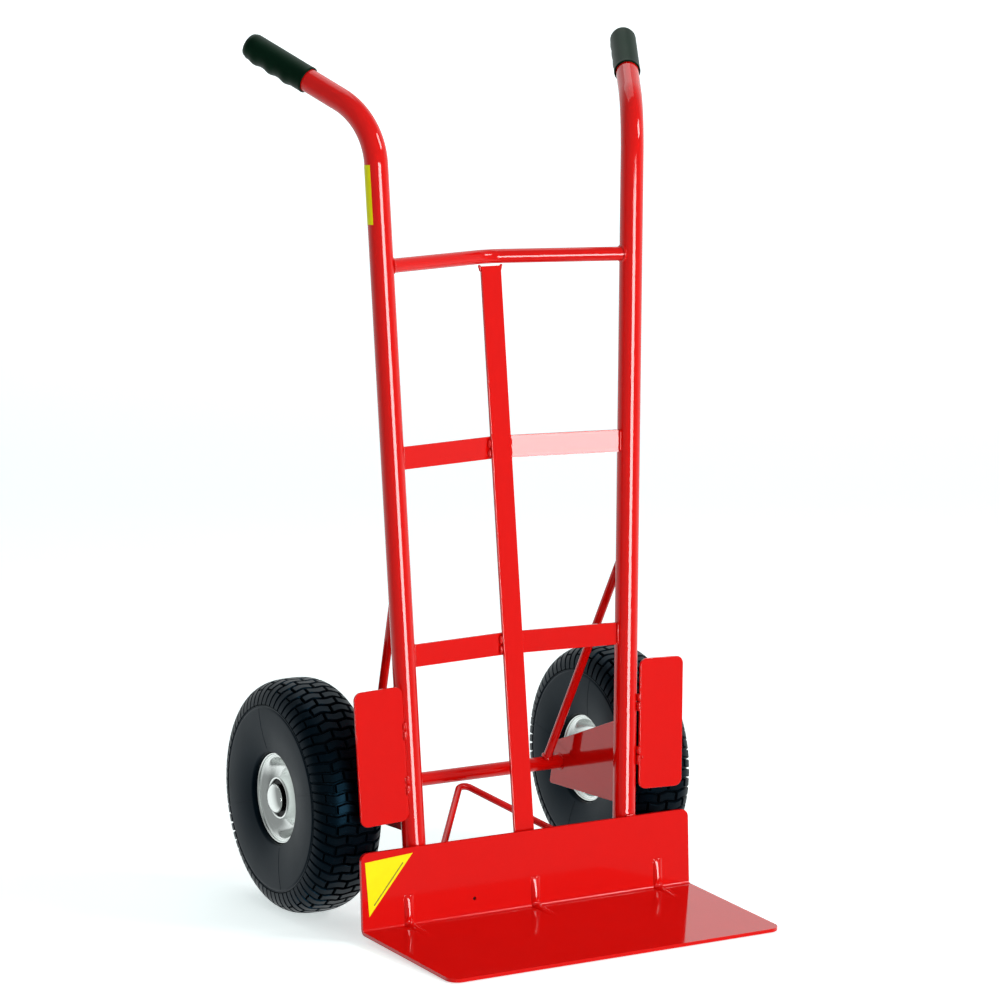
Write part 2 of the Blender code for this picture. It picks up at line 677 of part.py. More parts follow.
def make_rim(side, axis):
    """Two pressed rim halves that carry the tyre, and two dished discs down to the hub."""
    seat_out = RIM_LIP_OUT - 0.006
    for name, way in (("outer", 1), ("inner", -1)):
        outside = [(RIM_RADIUS, RIM_LIP_OUT), (RIM_RADIUS, RIM_LIP_OUT - RIM_SHEET),
                   (BEAD_SEAT_RADIUS + 0.0015, RIM_LIP_OUT - RIM_SHEET),
                   (BEAD_SEAT_RADIUS, seat_out), (BARREL_RADIUS + RIM_SHEET, 0.014),
                   (BARREL_RADIUS + RIM_SHEET, GAP)]
        inside = [(BARREL_RADIUS, GAP), (BARREL_RADIUS, 0.0145),
                  (BEAD_SEAT_RADIUS - RIM_SHEET, seat_out),
                  (BEAD_SEAT_RADIUS - 0.0002, RIM_LIP_OUT)]
        half = [(r, way * z) for r, z in outside + inside]
        if way < 0:
            half.reverse()
        turned(f"{side}_rim_{name}_half", half, zinc, axis, FINE_TURN)
        neck = HUB_TUBE_RADIUS + GAP
        wall = BEAD_SEAT_RADIUS - RIM_SHEET - GAP
        face = [(wall - 0.0002, seat_out + 0.001), (BARREL_RADIUS - GAP, 0.0175),
                (BARREL_RADIUS - 0.004, DISC_OUT), (0.031, DISC_OUT - 0.002),
                (0.026, DISC_OUT + 0.003), (HUB_COLLAR_RADIUS + 0.0005, 0.023),
                (HUB_COLLAR_RADIUS, HUB_TUBE_OUT)]
        back = [(neck, HUB_TUBE_OUT), (neck, 0.0225), (0.0248, DISC_OUT + 0.0015),
                (0.0302, DISC_OUT - 0.0036), (BARREL_RADIUS - 0.0034, DISC_OUT - RIM_SHEET),
                (BARREL_RADIUS - GAP, 0.0150)]
        dish = [(r, way * z) for r, z in face[::-1] + back[::-1]]
        if way < 0:
            dish.reverse()
        turned(f"{side}_{name}_disc", dish, zinc, axis, FINE_TURN)


def make_hub(side, axis):
    """A steel hub tube with a sealed ball bearing pressed in at each end."""
    bore = BEARING_RADIUS + GAP
    ring(f"{side}_hub_tube", bore, HUB_TUBE_RADIUS, -HUB_TUBE_OUT + GAP, HUB_TUBE_OUT - GAP,
         zinc, axis)
    for name, way in (("outer", 1), ("inner", -1)):
        ends = sorted((way * BEARING_OUT, way * (BEARING_OUT - BEARING_WIDTH)))
        ring(f"{side}_{name}_bearing", AXLE_RADIUS + GAP, BEARING_RADIUS, ends[0], ends[1],
             plain_steel, axis, chamfer=0.0006)


def make_fixed_hardware(side, axis):
    """What stays on the axle: a spacer sleeve, two washers and a domed push-on cap."""
    bore = AXLE_RADIUS + GAP
    washer_out = BEARING_OUT + GAP
    ring(f"{side}_outer_washer", bore, WASHER_RADIUS, washer_out, washer_out + WASHER_THICKNESS,
         zinc, axis)
    ring(f"{side}_inner_washer", bore, WASHER_RADIUS, -washer_out - WASHER_THICKNESS, -washer_out,
         zinc, axis)
    sleeve_from = WHEEL_HALF_TRACK - BRACKET_X - BRACKET_THICKNESS / 2 - GAP
    ring(f"{side}_spacer_sleeve", bore, SLEEVE_RADIUS, -sleeve_from,
         -washer_out - WASHER_THICKNESS - GAP, red_paint, axis)
    base = washer_out + WASHER_THICKNESS + GAP
    shoulder = base + 0.0050
    rise = CAP_OUT - shoulder
    angles = [math.radians(a) for a in range(0, 91, 18)]
    outer = [(CAP_RADIUS * math.sin(a), shoulder + rise * math.cos(a)) for a in angles]
    inner = [((CAP_RADIUS - CAP_SHEET) * math.sin(a),
              shoulder + (rise - CAP_SHEET) * math.cos(a)) for a in angles]
    profile = outer + [(CAP_RADIUS, base), (bore, base), (bore, base + CAP_SHEET),
                       (CAP_RADIUS - CAP_SHEET, base + CAP_SHEET)] + inner[::-1]
    turned(f"{side}_axle_cap", profile, zinc, axis, closed=False)


def make_valve(side, axis):
    """A bent rubber valve: out of the inner tube, through the barrel and out of the disc."""
    back = Vector((0, 1, 0))
    root = back * (BARREL_RADIUS + RIM_SHEET + GAP) + Vector((0, 0, VALVE_BARREL_OUT))
    elbow = back * VALVE_FROM_AXLE + Vector((0, 0, VALVE_BARREL_OUT))
    tip = back * VALVE_FROM_AXLE + Vector((0, 0, VALVE_OUT - 0.009))
    path = fillet([root, elbow, tip], VALVE_BEND_RADIUS, 4)
    rod(f"{side}_valve_stem", path, VALVE_RADIUS, tyre_rubber, axis, 2)
    cap = ring(f"{side}_valve_cap", 0.0, VALVE_RADIUS + 0.0006, 0.0, 0.009 - GAP, tyre_rubber,
               axis, 12)
    cap.location = back * VALVE_FROM_AXLE + Vector((0, 0, VALVE_OUT - 0.009 + GAP))
    hole = VALVE_RADIUS + 0.0008
    through_barrel = cylinder_cutter(f"{side}_barrel_hole", elbow + back * 0.010,
                                     root + back * 0.006, hole, axis)
    through_disc = cylinder_cutter(f"{side}_disc_hole", elbow + Vector((0, 0, 0.002)),
                                   tip + Vector((0, 0, 0.004)), hole, axis)
    cut(bpy.data.objects[f"{side}_rim_outer_half"], through_barrel)
    cut(bpy.data.objects[f"{side}_outer_disc"], through_disc)


for side, sign in SIDES:
    wheel_axis = axle_frame(f"{side}_wheel_axis", sign)
    make_tyre(side, wheel_axis)
    make_rim(side, wheel_axis)
    make_hub(side, wheel_axis)
    make_fixed_hardware(side, wheel_axis)
    make_valve(side, wheel_axis)
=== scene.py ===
# %% [markdown]
# # A hand truck, piece by piece
#
# This lesson dresses a two-wheeled hand truck: a welded, powder-coated tube frame, a folded
# toe plate, rubber grips and pneumatic tyres on pressed, zinc-plated wheels. The solid model
# comes first and says where everything is. Each cell then either refines a piece of it or
# makes a finish, so that you can run the lesson cell by cell and watch the truck fill in.

# %% Load the frame and measure it
import json
import math
import random

import bmesh
import bpy
from mathutils import Matrix, Vector


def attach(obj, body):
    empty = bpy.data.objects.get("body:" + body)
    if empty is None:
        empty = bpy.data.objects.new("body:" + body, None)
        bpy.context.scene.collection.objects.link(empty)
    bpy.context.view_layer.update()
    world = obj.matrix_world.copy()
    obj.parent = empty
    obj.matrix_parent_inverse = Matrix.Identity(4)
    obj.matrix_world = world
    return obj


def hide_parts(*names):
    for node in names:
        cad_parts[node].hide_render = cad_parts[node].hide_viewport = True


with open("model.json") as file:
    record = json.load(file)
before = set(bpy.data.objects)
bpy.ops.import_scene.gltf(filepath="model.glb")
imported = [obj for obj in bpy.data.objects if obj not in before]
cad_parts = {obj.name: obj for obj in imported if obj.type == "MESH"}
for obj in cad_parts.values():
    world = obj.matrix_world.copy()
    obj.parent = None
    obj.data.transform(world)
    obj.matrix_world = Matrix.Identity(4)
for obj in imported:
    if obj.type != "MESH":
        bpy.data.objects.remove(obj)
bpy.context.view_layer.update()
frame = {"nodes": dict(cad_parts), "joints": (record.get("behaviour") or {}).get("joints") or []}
nodes = frame["nodes"]
random.seed(4)

wheel_centre = {joint["child"]: Vector(joint["pos_m"]) for joint in frame["joints"]}
axle_y, axle_z = wheel_centre["left_wheel"].y, wheel_centre["left_wheel"].z

# %% [markdown]
# ## Where things are
#
# The frame of the truck leans back a little and its uprights spread towards the top. It is
# easier to think in the frame's own directions: across it, up it, and back from the front
# face of the back plate. One function turns those three lengths into a point of the scene.

# %% The frame's own directions
SIDES = (("left", -1), ("right", 1))
LEAN = math.radians(2.4)
SPLAY = math.radians(2.0)
SHEET = 0.004
TUBE_RADIUS = 0.0130
TUBE_BACK = SHEET + 0.0003 + TUBE_RADIUS
FOOT_HALF_SPACING = 0.1325
AXLE_BEHIND_HEEL = 0.1607
heel_y = axle_y - AXLE_BEHIND_HEEL


def on_frame(x, up, back):
    """A point of the leaning frame."""
    return Vector((x, heel_y + up * math.sin(LEAN) + back * math.cos(LEAN),
                   up * math.cos(LEAN) - back * math.sin(LEAN)))


UP_FRAME = (on_frame(0, 1, 0) - on_frame(0, 0, 0)).normalized()
BACKWARDS = (on_frame(0, 0, 1) - on_frame(0, 0, 0)).normalized()


def upright_x(up):
    return FOOT_HALF_SPACING + up * math.tan(SPLAY)


print("half the distance between the uprights at the foot:", round(upright_x(0), 4))

# %% [markdown]
# ## Tools for meshes
#
# Almost every piece here is either swept along a path or turned round an axis, as the real
# ones are bent from bar and tube or pressed and turned. Two small functions do that in
# bmesh. A third fillets the corners of a path, the way a tube bender leaves them. The last
# ones round the edges of a piece, say what it belongs to, and paint the solid pieces.


# %% Sweeping, turning and filleting
def finish_mesh(name, bm, material, sharp=35.0, outward=True):
    """Turns a bmesh into an object with smooth faces and sharp creases."""
    if outward:
        bmesh.ops.recalc_face_normals(bm, faces=bm.faces)
    mesh = bpy.data.meshes.new(name)
    bm.to_mesh(mesh)
    bm.free()
    mesh.materials.append(material)
    mesh.shade_smooth()
    mesh.set_sharp_from_angle(angle=math.radians(sharp))
    obj = bpy.data.objects.new(name, mesh)
    bpy.context.scene.collection.objects.link(obj)
    return obj


def fillet(points, radius, steps):
    """The polyline with each inner corner replaced by an arc of the given radius."""
    path = [points[0]]
    for before, corner, after in zip(points, points[1:], points[2:]):
        a = (before - corner).normalized()
        b = (after - corner).normalized()
        half = a.angle(b) / 2
        centre = corner + (a + b).normalized() * radius / math.sin(half)
        start = corner + a * radius / math.tan(half) - centre
        end = corner + b * radius / math.tan(half) - centre
        sweep_angle = start.angle(end)
        for step in range(steps + 1):
            t = step / steps
            spoke = start * math.sin((1 - t) * sweep_angle) + end * math.sin(t * sweep_angle)
            path.append(centre + spoke / math.sin(sweep_angle))
    path.append(points[-1])
    return path


def bridge(bm, ring_a, ring_b, close=True):
    """Joins two rings of vertices with a band of faces."""
    count = len(ring_a)
    for i in range(count if close else count - 1):
        j = (i + 1) % count
        corners = [ring_a[i], ring_a[j], ring_b[j], ring_b[i]]
        corners = [v for k, v in enumerate(corners) if v is not corners[k - 1]]
        if len(corners) > 2:
            bm.faces.new(corners)


def ways_along(path):
    """Unit directions at each point of a path."""
    ways = []
    for i in range(len(path)):
        ways.append((path[min(i + 1, len(path) - 1)] - path[max(i - 1, 0)]).normalized())
    return ways


def sweep(bm, path, radii, sides, capped=True):
    """Adds a round bar along a path. radii is one radius, or one for each point."""
    if not isinstance(radii, list):
        radii = [radii] * len(path)
    normal = Vector((1, 0, 0))
    rings = []
    for point, way, radius in zip(path, ways_along(path), radii):
        normal = (normal - way * normal.dot(way)).normalized()
        other = way.cross(normal)
        rings.append([bm.verts.new(point + (normal * math.cos(2 * math.pi * k / sides)
                                            + other * math.sin(2 * math.pi * k / sides)) * radius)
                      for k in range(sides)])
    for ring_a, ring_b in zip(rings, rings[1:]):
        bridge(bm, ring_a, ring_b)
    if capped:
        bm.faces.new(rings[0][::-1])
        bm.faces.new(rings[-1])
    return rings


def turn(bm, profile, steps, closed=True, shape=None):
    """Turns (radius, height) points round Z. shape may change the radius by height and angle."""
    rings = []
    for k in range(steps):
        angle = 2 * math.pi * k / steps
        ring = []
        for radius, height in profile:
            if shape:
                radius = shape(radius, height, angle)
            ring.append((radius, height, angle))
        rings.append(ring)
    poles = {i: bm.verts.new((0, 0, height)) for i, (radius, height) in enumerate(profile)
             if radius < 1e-6}
    verts = [[poles[i] if i in poles else
              bm.verts.new((r * math.cos(a), r * math.sin(a), h))
              for i, (r, h, a) in enumerate(ring)] for ring in rings]
    for k in range(steps):
        bridge(bm, verts[k], verts[(k + 1) % steps], close=closed)


def axis_matrix(origin, way):
    """Puts local Z along way and local Y as near as it can be to straight up."""
    z = way.normalized()
    x = Vector((0, 0, 1)).cross(z).normalized()
    return Matrix.Translation(origin) @ Matrix((x, z.cross(x), z)).transposed().to_4x4()


def soften(piece, width, angle=40):
    """Rounds the edges and keeps the flat faces flat."""
    edge = piece.modifiers.new("edge", "BEVEL")
    edge.width = width
    edge.segments = 3
    edge.limit_method = "ANGLE"
    edge.angle_limit = math.radians(angle)
    piece.modifiers.new("flat_faces", "WEIGHTED_NORMAL").keep_sharp = True


def belongs(piece, body, slot_name, *replaced):
    """Says which body a piece rides on and the nodes that it stands for. slot_name, its finish, is
    not used.
    """
    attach(piece, body)
    if replaced:
        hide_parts(*replaced)


def coat(node_name, material):
    """Gives a piece of the solid model its material."""
    nodes[node_name].data.materials.clear()
    nodes[node_name].data.materials.append(material)


# %% [markdown]
# ## Tools for materials
#
# Colours are easiest to read as sRGB hex values, but the shader wants linear light, so one
# function converts them. A second one adds a node with its settings, values and links.


# %% Colour and node helpers
def linear(hex_colour, alpha=1.0):
    """An sRGB colour such as "#E0190F" as linear RGBA."""
    channels = [int(hex_colour[i:i + 2], 16) / 255 for i in (1, 3, 5)]
    light = [c / 12.92 if c <= 0.04045 else ((c + 0.055) / 1.055) ** 2.4 for c in channels]
    return light + [alpha]


def add_node(tree, kind, settings=None, values=None, links=None):
    """Adds a node, then sets its properties, its socket values and its incoming links."""
    node = tree.nodes.new(kind)
    for name, value in (settings or {}).items():
        setattr(node, name, value)
    for socket, value in (values or {}).items():
        node.inputs[socket].default_value = value
    for socket, source in (links or {}).items():
        tree.links.new(source, node.inputs[socket])
    return node


def start_material(name, sockets):
    """A material with its Principled shader set, and the tree and shader to build on."""
    material = bpy.data.materials.new(name)
    material.use_nodes = True
    shader = material.node_tree.nodes["Principled BSDF"]
    for socket, value in sockets.items():
        shader.inputs[socket].default_value = value
    return material, material.node_tree, shader


# %% [markdown]
# ## Powder-coated steel
#
# Powder coat is polyester dust, sprayed on and baked until it flows into one thick glossy
# skin. This one is so smooth that it mirrors what stands near it: look for the back plate in
# the toe plate. It still never flows quite flat, so a faint orange-peel ripple a few
# millimetres across stirs the reflections. Its IOR is that of a plastic, 1.5, and it is not
# metallic, because the steel under it does not show. Handling dulls it a little in patches.

# %% Powder-coated steel
ORANGE_PEEL = 0.0040        # ripple size, metres
HANDLED_PATCH = 0.045


def powder_coat(name, colour, dark_colour, peel_height):
    material, tree, shader = start_material(name, {
        "Base Color": linear(colour), "Roughness": 0.08, "IOR": 1.5,
        "Specular IOR Level": 0.50})
    place = add_node(tree, "ShaderNodeTexCoord")
    patches = add_node(tree, "ShaderNodeTexNoise", values={"Scale": 1 / HANDLED_PATCH,
                       "Detail": 4.0, "Roughness": 0.6}, links={"Vector": place.outputs["Object"]})
    tint = add_node(tree, "ShaderNodeMix", {"data_type": "RGBA"},
                    {"A": linear(colour), "B": linear(dark_colour)},
                    {"Factor": patches.outputs["Fac"]})
    dull = add_node(tree, "ShaderNodeMapRange", values={"From Min": 0.35, "From Max": 0.75,
                    "To Min": 0.05, "To Max": 0.10}, links={"Value": patches.outputs["Fac"]})
    peel = add_node(tree, "ShaderNodeTexNoise", values={"Scale": 1 / ORANGE_PEEL, "Detail": 1.0},
                    links={"Vector": place.outputs["Object"]})
    bump = add_node(tree, "ShaderNodeBump", values={"Strength": 0.25, "Distance": peel_height},
                    links={"Height": peel.outputs["Fac"]})
    tree.links.new(tint.outputs["Result"], shader.inputs["Base Color"])
    tree.links.new(dull.outputs["Result"], shader.inputs["Roughness"])
    tree.links.new(bump.outputs["Normal"], shader.inputs["Normal"])
    return material


red_coat = powder_coat("red_powder_coat", "#E60B06", "#DE0A05", 0.00002)
weld_coat = powder_coat("red_powder_coat_on_weld", "#E40B06", "#CE0904", 0.00020)
print("finishes:", red_coat.name, weld_coat.name)

# %% [markdown]
# ## Moulded rubber
#
# The grips are soft PVC and the tyres carbon-filled rubber, both moulded. Moulded rubber has
# a matte skin with broad, weak highlights and a fine grain copied from the mould. Tyre
# rubber is never quite black: it is a cold dark grey with a brownish bloom in places, and
# dust makes the raised parts paler.

# %% Moulded rubber
GRIP_GRAIN = 0.0009
TYRE_GRAIN = 0.0016
BLOOM_PATCH = 0.030


def moulded_rubber(name, colour, bloom_colour, roughness, grain, grain_height, sheen_colour):
    material, tree, shader = start_material(name, {
        "Base Color": linear(colour), "Roughness": roughness, "IOR": 1.52,
        "Specular IOR Level": 0.17, "Specular Tint": linear(sheen_colour)})
    place = add_node(tree, "ShaderNodeTexCoord")
    bloom = add_node(tree, "ShaderNodeTexNoise", values={"Scale": 1 / BLOOM_PATCH, "Detail": 5.0,
                     "Roughness": 0.55}, links={"Vector": place.outputs["Object"]})
    amount = add_node(tree, "ShaderNodeMapRange", values={"From Min": 0.40, "From Max": 0.72,
                      "To Min": 0.0, "To Max": 0.8}, links={"Value": bloom.outputs["Fac"]})
    tint = add_node(tree, "ShaderNodeMix", {"data_type": "RGBA"},
                    {"A": linear(colour), "B": linear(bloom_colour)},
                    {"Factor": amount.outputs["Result"]})
    matte = add_node(tree, "ShaderNodeMapRange", values={"To Min": roughness - 0.07,
                     "To Max": roughness + 0.08}, links={"Value": bloom.outputs["Fac"]})
    skin = add_node(tree, "ShaderNodeTexNoise", values={"Scale": 1 / grain, "Detail": 3.0},
                    links={"Vector": place.outputs["Object"]})
    bump = add_node(tree, "ShaderNodeBump", values={"Strength": 0.5, "Distance": grain_height},
                    links={"Height": skin.outputs["Fac"]})
    tree.links.new(tint.outputs["Result"], shader.inputs["Base Color"])
    tree.links.new(matte.outputs["Result"], shader.inputs["Roughness"])
    tree.links.new(bump.outputs["Normal"], shader.inputs["Normal"])
    return material


grip_pvc = moulded_rubber("green_moulded_pvc", "#05180F", "#082216", 0.42, GRIP_GRAIN, 0.00012,
                          "#74D69C")
tyre_rubber = moulded_rubber("moulded_tyre_rubber", "#040A10", "#0C0F11", 0.38, TYRE_GRAIN,
                             0.00012, "#5FB4E4")
seal_rubber = moulded_rubber("nitrile_seal_rubber", "#0A0B0C", "#101113", 0.45, 0.0008, 0.00005,
                             "#FFFFFF")

# %% [markdown]
# ## Zinc-plated steel
#
# The wheel halves are deep-drawn from sheet and then bright zinc plated. Zinc is a soft grey
# metal with a faint green cast from its passivation. Drawing and plating leave cloudy
# patches of roughness and fine marks that run round the wheel with the tool.

# %% Zinc-plated steel
CLOUD = 0.020
DRAW_LINE = 0.0012


def zinc_plate(name, colour, cloud_colour, roughness):
    material, tree, shader = start_material(name, {
        "Base Color": linear(colour), "Metallic": 1.0, "Roughness": roughness})
    place = add_node(tree, "ShaderNodeTexCoord")
    cloud = add_node(tree, "ShaderNodeTexNoise", values={"Scale": 1 / CLOUD, "Detail": 4.0,
                     "Roughness": 0.6}, links={"Vector": place.outputs["Object"]})
    tint = add_node(tree, "ShaderNodeMix", {"data_type": "RGBA"},
                    {"A": linear(colour), "B": linear(cloud_colour)},
                    {"Factor": cloud.outputs["Fac"]})
    matte = add_node(tree, "ShaderNodeMapRange", values={"From Min": 0.3, "From Max": 0.7,
                     "To Min": roughness - 0.03, "To Max": roughness + 0.03},
                     links={"Value": cloud.outputs["Fac"]})
    lines = add_node(tree, "ShaderNodeTexWave", {"wave_type": "RINGS", "rings_direction": "Z"},
                     {"Scale": 1 / DRAW_LINE / 20, "Distortion": 3.0, "Detail": 3.0,
                      "Detail Scale": 2.0}, {"Vector": place.outputs["Object"]})
    bump = add_node(tree, "ShaderNodeBump", values={"Strength": 0.02, "Distance": 0.00003},
                    links={"Height": lines.outputs["Fac"]})
    tree.links.new(tint.outputs["Result"], shader.inputs["Base Color"])
    tree.links.new(matte.outputs["Result"], shader.inputs["Roughness"])
    tree.links.new(bump.outputs["Normal"], shader.inputs["Normal"])
    return material


wheel_zinc = zinc_plate("bright_zinc_plate", "#FAFDFB", "#F0F5F2", 0.20)
bearing_steel = zinc_plate("ground_bearing_steel", "#B9BCBF", "#A9ADB0", 0.22)

# %% [markdown]
# ## Vinyl stickers
#
# The stickers are printed vinyl: an even, saturated yellow with a slight sheen. They are so
# thin that only their edge and their flatness tell them from paint.

# %% Vinyl sticker
VINYL_WRINKLE = 1 / 120
INK_SPECKLE = 1 / 900
yellow_vinyl, tree, shader = start_material("yellow_vinyl", {
    "Base Color": linear("#FFFA00"), "Roughness": 0.40, "IOR": 1.5, "Specular IOR Level": 0.2})
place = add_node(tree, "ShaderNodeTexCoord")
wrinkle = add_node(tree, "ShaderNodeTexNoise", values={"Scale": 1 / VINYL_WRINKLE, "Detail": 2.0},
                   links={"Vector": place.outputs["Object"]})
bump = add_node(tree, "ShaderNodeBump", values={"Strength": 0.15, "Distance": 0.0002},
                links={"Height": wrinkle.outputs["Fac"]})
sun_faded = add_node(tree, "ShaderNodeMix", {"data_type": "RGBA"},
                     {"A": linear("#FFFC00"), "B": linear("#FCF200")},
                     {"Factor": wrinkle.outputs["Fac"]})
tree.links.new(sun_faded.outputs["Result"], shader.inputs["Base Color"])
tree.links.new(bump.outputs["Normal"], shader.inputs["Normal"])

printed_ink, tree, shader = start_material("olive_print_on_vinyl", {
    "Base Color": linear("#8E8400"), "Roughness": 0.5})
place = add_node(tree, "ShaderNodeTexCoord")
speckle = add_node(tree, "ShaderNodeTexNoise", values={"Scale": 1 / INK_SPECKLE},
                   links={"Vector": place.outputs["Object"]})
faded = add_node(tree, "ShaderNodeMix", {"data_type": "RGBA"},
                 {"A": linear("#7A7100"), "B": linear("#B4A800")},
                 {"Factor": speckle.outputs["Fac"]})
tree.links.new(faded.outputs["Result"], shader.inputs["Base Color"])

# %% [markdown]
# ## Uprights and handles
#
# Each upright is one length of steel tube: straight up the frame, then bent back and
# outwards in one plane to make the handle. Sweeping a circle along a filleted path is just
# what the tube bender does, and a second, narrower sweep gives the tube its bore.

# %% Bend the uprights
FOOT_UP = 0.012
BEND_UP = 0.840
BEND_RADIUS = 0.080
BEND_ANGLE = math.radians(61.4)
HANDLE_OUTWARD = math.radians(27.6)
HANDLE_STRAIGHT = 0.130
TUBE_WALL = 0.0018
handle = {}


def upright_path(sign):
    """The centre line of an upright, and the direction of its handle."""
    foot = on_frame(sign * upright_x(FOOT_UP), FOOT_UP, TUBE_BACK)
    bend = on_frame(sign * upright_x(BEND_UP), BEND_UP, TUBE_BACK)
    rise = (bend - foot).normalized()
    outward = BACKWARDS * math.cos(HANDLE_OUTWARD)
    outward += Vector((sign, 0, 0)) * math.sin(HANDLE_OUTWARD)
    outward = (outward - rise * outward.dot(rise)).normalized()
    run = BEND_RADIUS * math.tan(BEND_ANGLE / 2)
    corner = bend + rise * run
    way = rise * math.cos(BEND_ANGLE) + outward * math.sin(BEND_ANGLE)
    return fillet([foot, corner, corner + way * (run + HANDLE_STRAIGHT)], BEND_RADIUS, 28), way


for side, sign in SIDES:
    path, way = upright_path(sign)
    handle[side] = (path[-1], way)
    bm = bmesh.new()
    outer = sweep(bm, path, TUBE_RADIUS, 40, capped=False)
    inner = sweep(bm, path, TUBE_RADIUS - TUBE_WALL, 40, capped=False)
    for end in (0, -1):
        bridge(bm, outer[end], inner[end])
    tube = finish_mesh(f"{side}_bent_tube", bm, red_coat)
    belongs(tube, "frame", "red_paint", f"{side}_upright")
print("handle ends at", [tuple(round(c, 3) for c in handle[s][0]) for s, _ in SIDES])

# %% [markdown]
# ## Grips
#
# The grips are moulded sleeves with a domed end. They are smooth on top, where the palm
# lies, and have three soft ridges below for the fingers. A turned profile gives the sleeve,
# and its radius swells with the angle and the distance from the end to give the ridges.

# %% Mould the grips
GRIP_RADIUS = 0.0149
GRIP_LENGTH = 0.088
GRIP_END = 0.0038           # end wall
GRIP_DOME = 0.009
RIDGE_PLACES = (0.0195, 0.0415, 0.0635)
RIDGE_HEIGHT = 0.0017
RIDGE_HALF_LENGTH = 0.0095


def finger_ridge(radius, height, angle):
    """The grip's radius: fuller towards local -Y, the underside, at each ridge."""
    if radius < TUBE_RADIUS + 0.001:
        return radius
    below = max(0.0, math.cos(angle + math.pi / 2)) ** 0.7
    swell = 0.0
    for place_along in RIDGE_PLACES:
        away = abs(GRIP_END - height - place_along) / RIDGE_HALF_LENGTH
        if away < 1:
            swell = max(swell, 0.5 + 0.5 * math.cos(math.pi * away))
    return radius + RIDGE_HEIGHT * swell * below


bore = TUBE_RADIUS + 0.0003
shoulder = GRIP_END - GRIP_DOME
profile = [(0.0, GRIP_END)]
for degrees in range(9, 91, 9):
    a = math.radians(degrees)
    profile.append((GRIP_RADIUS * math.sin(a) ** 0.8, shoulder + GRIP_DOME * math.cos(a)))
mouth = GRIP_END - GRIP_LENGTH
steps_along = 52
for k in range(1, steps_along):
    profile.append((GRIP_RADIUS, shoulder + (mouth + 0.003 - shoulder) * k / steps_along))
profile += [(GRIP_RADIUS + 0.0001, mouth + 0.0028), (GRIP_RADIUS + 0.0002, mouth + 0.0018),
            (GRIP_RADIUS, mouth + 0.0004), (GRIP_RADIUS - 0.0004, mouth),
            (bore + 0.0003, mouth), (bore, mouth + 0.0004), (bore, 0.0002), (0.0, 0.0002)]
for side, sign in SIDES:
    bm = bmesh.new()
    turn(bm, profile, 48, closed=False, shape=finger_ridge)
    grip = finish_mesh(f"{side}_ridged_grip", bm, grip_pvc, 50)
    end, way = handle[side]
    grip.matrix_world = axis_matrix(end, way)
    belongs(grip, "frame", "grip_rubber", f"{side}_grip")

# %% [markdown]
# ## Flat bars, strap, brackets and guards
#
# These are cut from flat bar and sheet. Real sheared edges are never knife sharp, and the
# paint rounds them further, so each gets a small bevel, which is what catches the light
# along an edge. The solid model already has the shape of the bars and brackets. The guards
# are cut again here, a little short of the tubes, so that the slit that their welds bridge
# shows.

# %% Round the edges of the flat pieces
EDGE_ROUND = 0.0006
for name in ("middle_cross_bar", "lower_cross_bar", "centre_strap", "left_axle_bracket",
             "right_axle_bracket"):
    nodes[name].modifiers.new("join", "WELD").merge_threshold = 0.00002
    soften(nodes[name], EDGE_ROUND)
    coat(name, red_coat)

# %% Cut the guards
GUARD_WIDTH = 0.060
GUARD_HEIGHT = 0.149
GUARD_FOOT_UP = 0.1258
GUARD_BACK = 0.0055
GUARD_THICKNESS = 0.003
GUARD_CORNER = 0.009
GUARD_SLIT = {"left": 0.0008, "right": 0.0030}
guard_inner = math.sqrt(TUBE_RADIUS ** 2 - (TUBE_BACK - GUARD_BACK - GUARD_THICKNESS) ** 2)


def closed_fillet(corners, radius, steps):
    """A closed outline with every corner rounded."""
    middle = (corners[0] + corners[-1]) / 2
    return fillet([middle, *corners, middle], radius, steps)[:-1]


for side, sign in SIDES:
    up_tube = (on_frame(sign * upright_x(1), 1, 0) - on_frame(sign * upright_x(0), 0, 0))
    up_tube.normalize()
    across = sign * up_tube.cross(-BACKWARDS).normalized()
    inner_x = upright_x(GUARD_FOOT_UP) + guard_inner
    foot = on_frame(sign * inner_x, GUARD_FOOT_UP, GUARD_BACK)
    low, high = foot + across * GUARD_SLIT[side], foot + across * GUARD_WIDTH
    rise = up_tube * GUARD_HEIGHT
    outline = closed_fillet([low, high, high + rise, low + rise], GUARD_CORNER, 10)
    bm = bmesh.new()
    front = [bm.verts.new(point) for point in outline]
    rear = [bm.verts.new(point + BACKWARDS * GUARD_THICKNESS) for point in outline]
    bm.faces.new(front)
    bm.faces.new(rear[::-1])
    bridge(bm, front, rear)
    guard = finish_mesh(f"{side}_guard_plate", bm, red_coat)
    soften(guard, EDGE_ROUND)
    belongs(guard, "frame", "red_paint", f"{side}_guard")

# %% [markdown]
# ## Round bars
#
# The top bar, the two braces, the V-shaped stay and the axle are solid bar, bent cold where
# they bend. They run right up to the pieces they are welded to.

# %% Bend the round bars
TOP_BAR_UP = 0.7307
TOP_BAR_RADIUS = 0.0080
TOP_BAR_BOW = 0.0483
BRACE_TOP_UP = 0.382
BRACE_RADIUS = 0.005
STAY_RADIUS = 0.004
STAY_FOOT_UP = 0.045
AXLE_RADIUS = 0.008


def round_bar(name, path, radius, node):
    bm = bmesh.new()
    sweep(bm, path, radius, 32)
    bar = finish_mesh(name, bm, red_coat)
    belongs(bar, "frame", "red_paint", node)


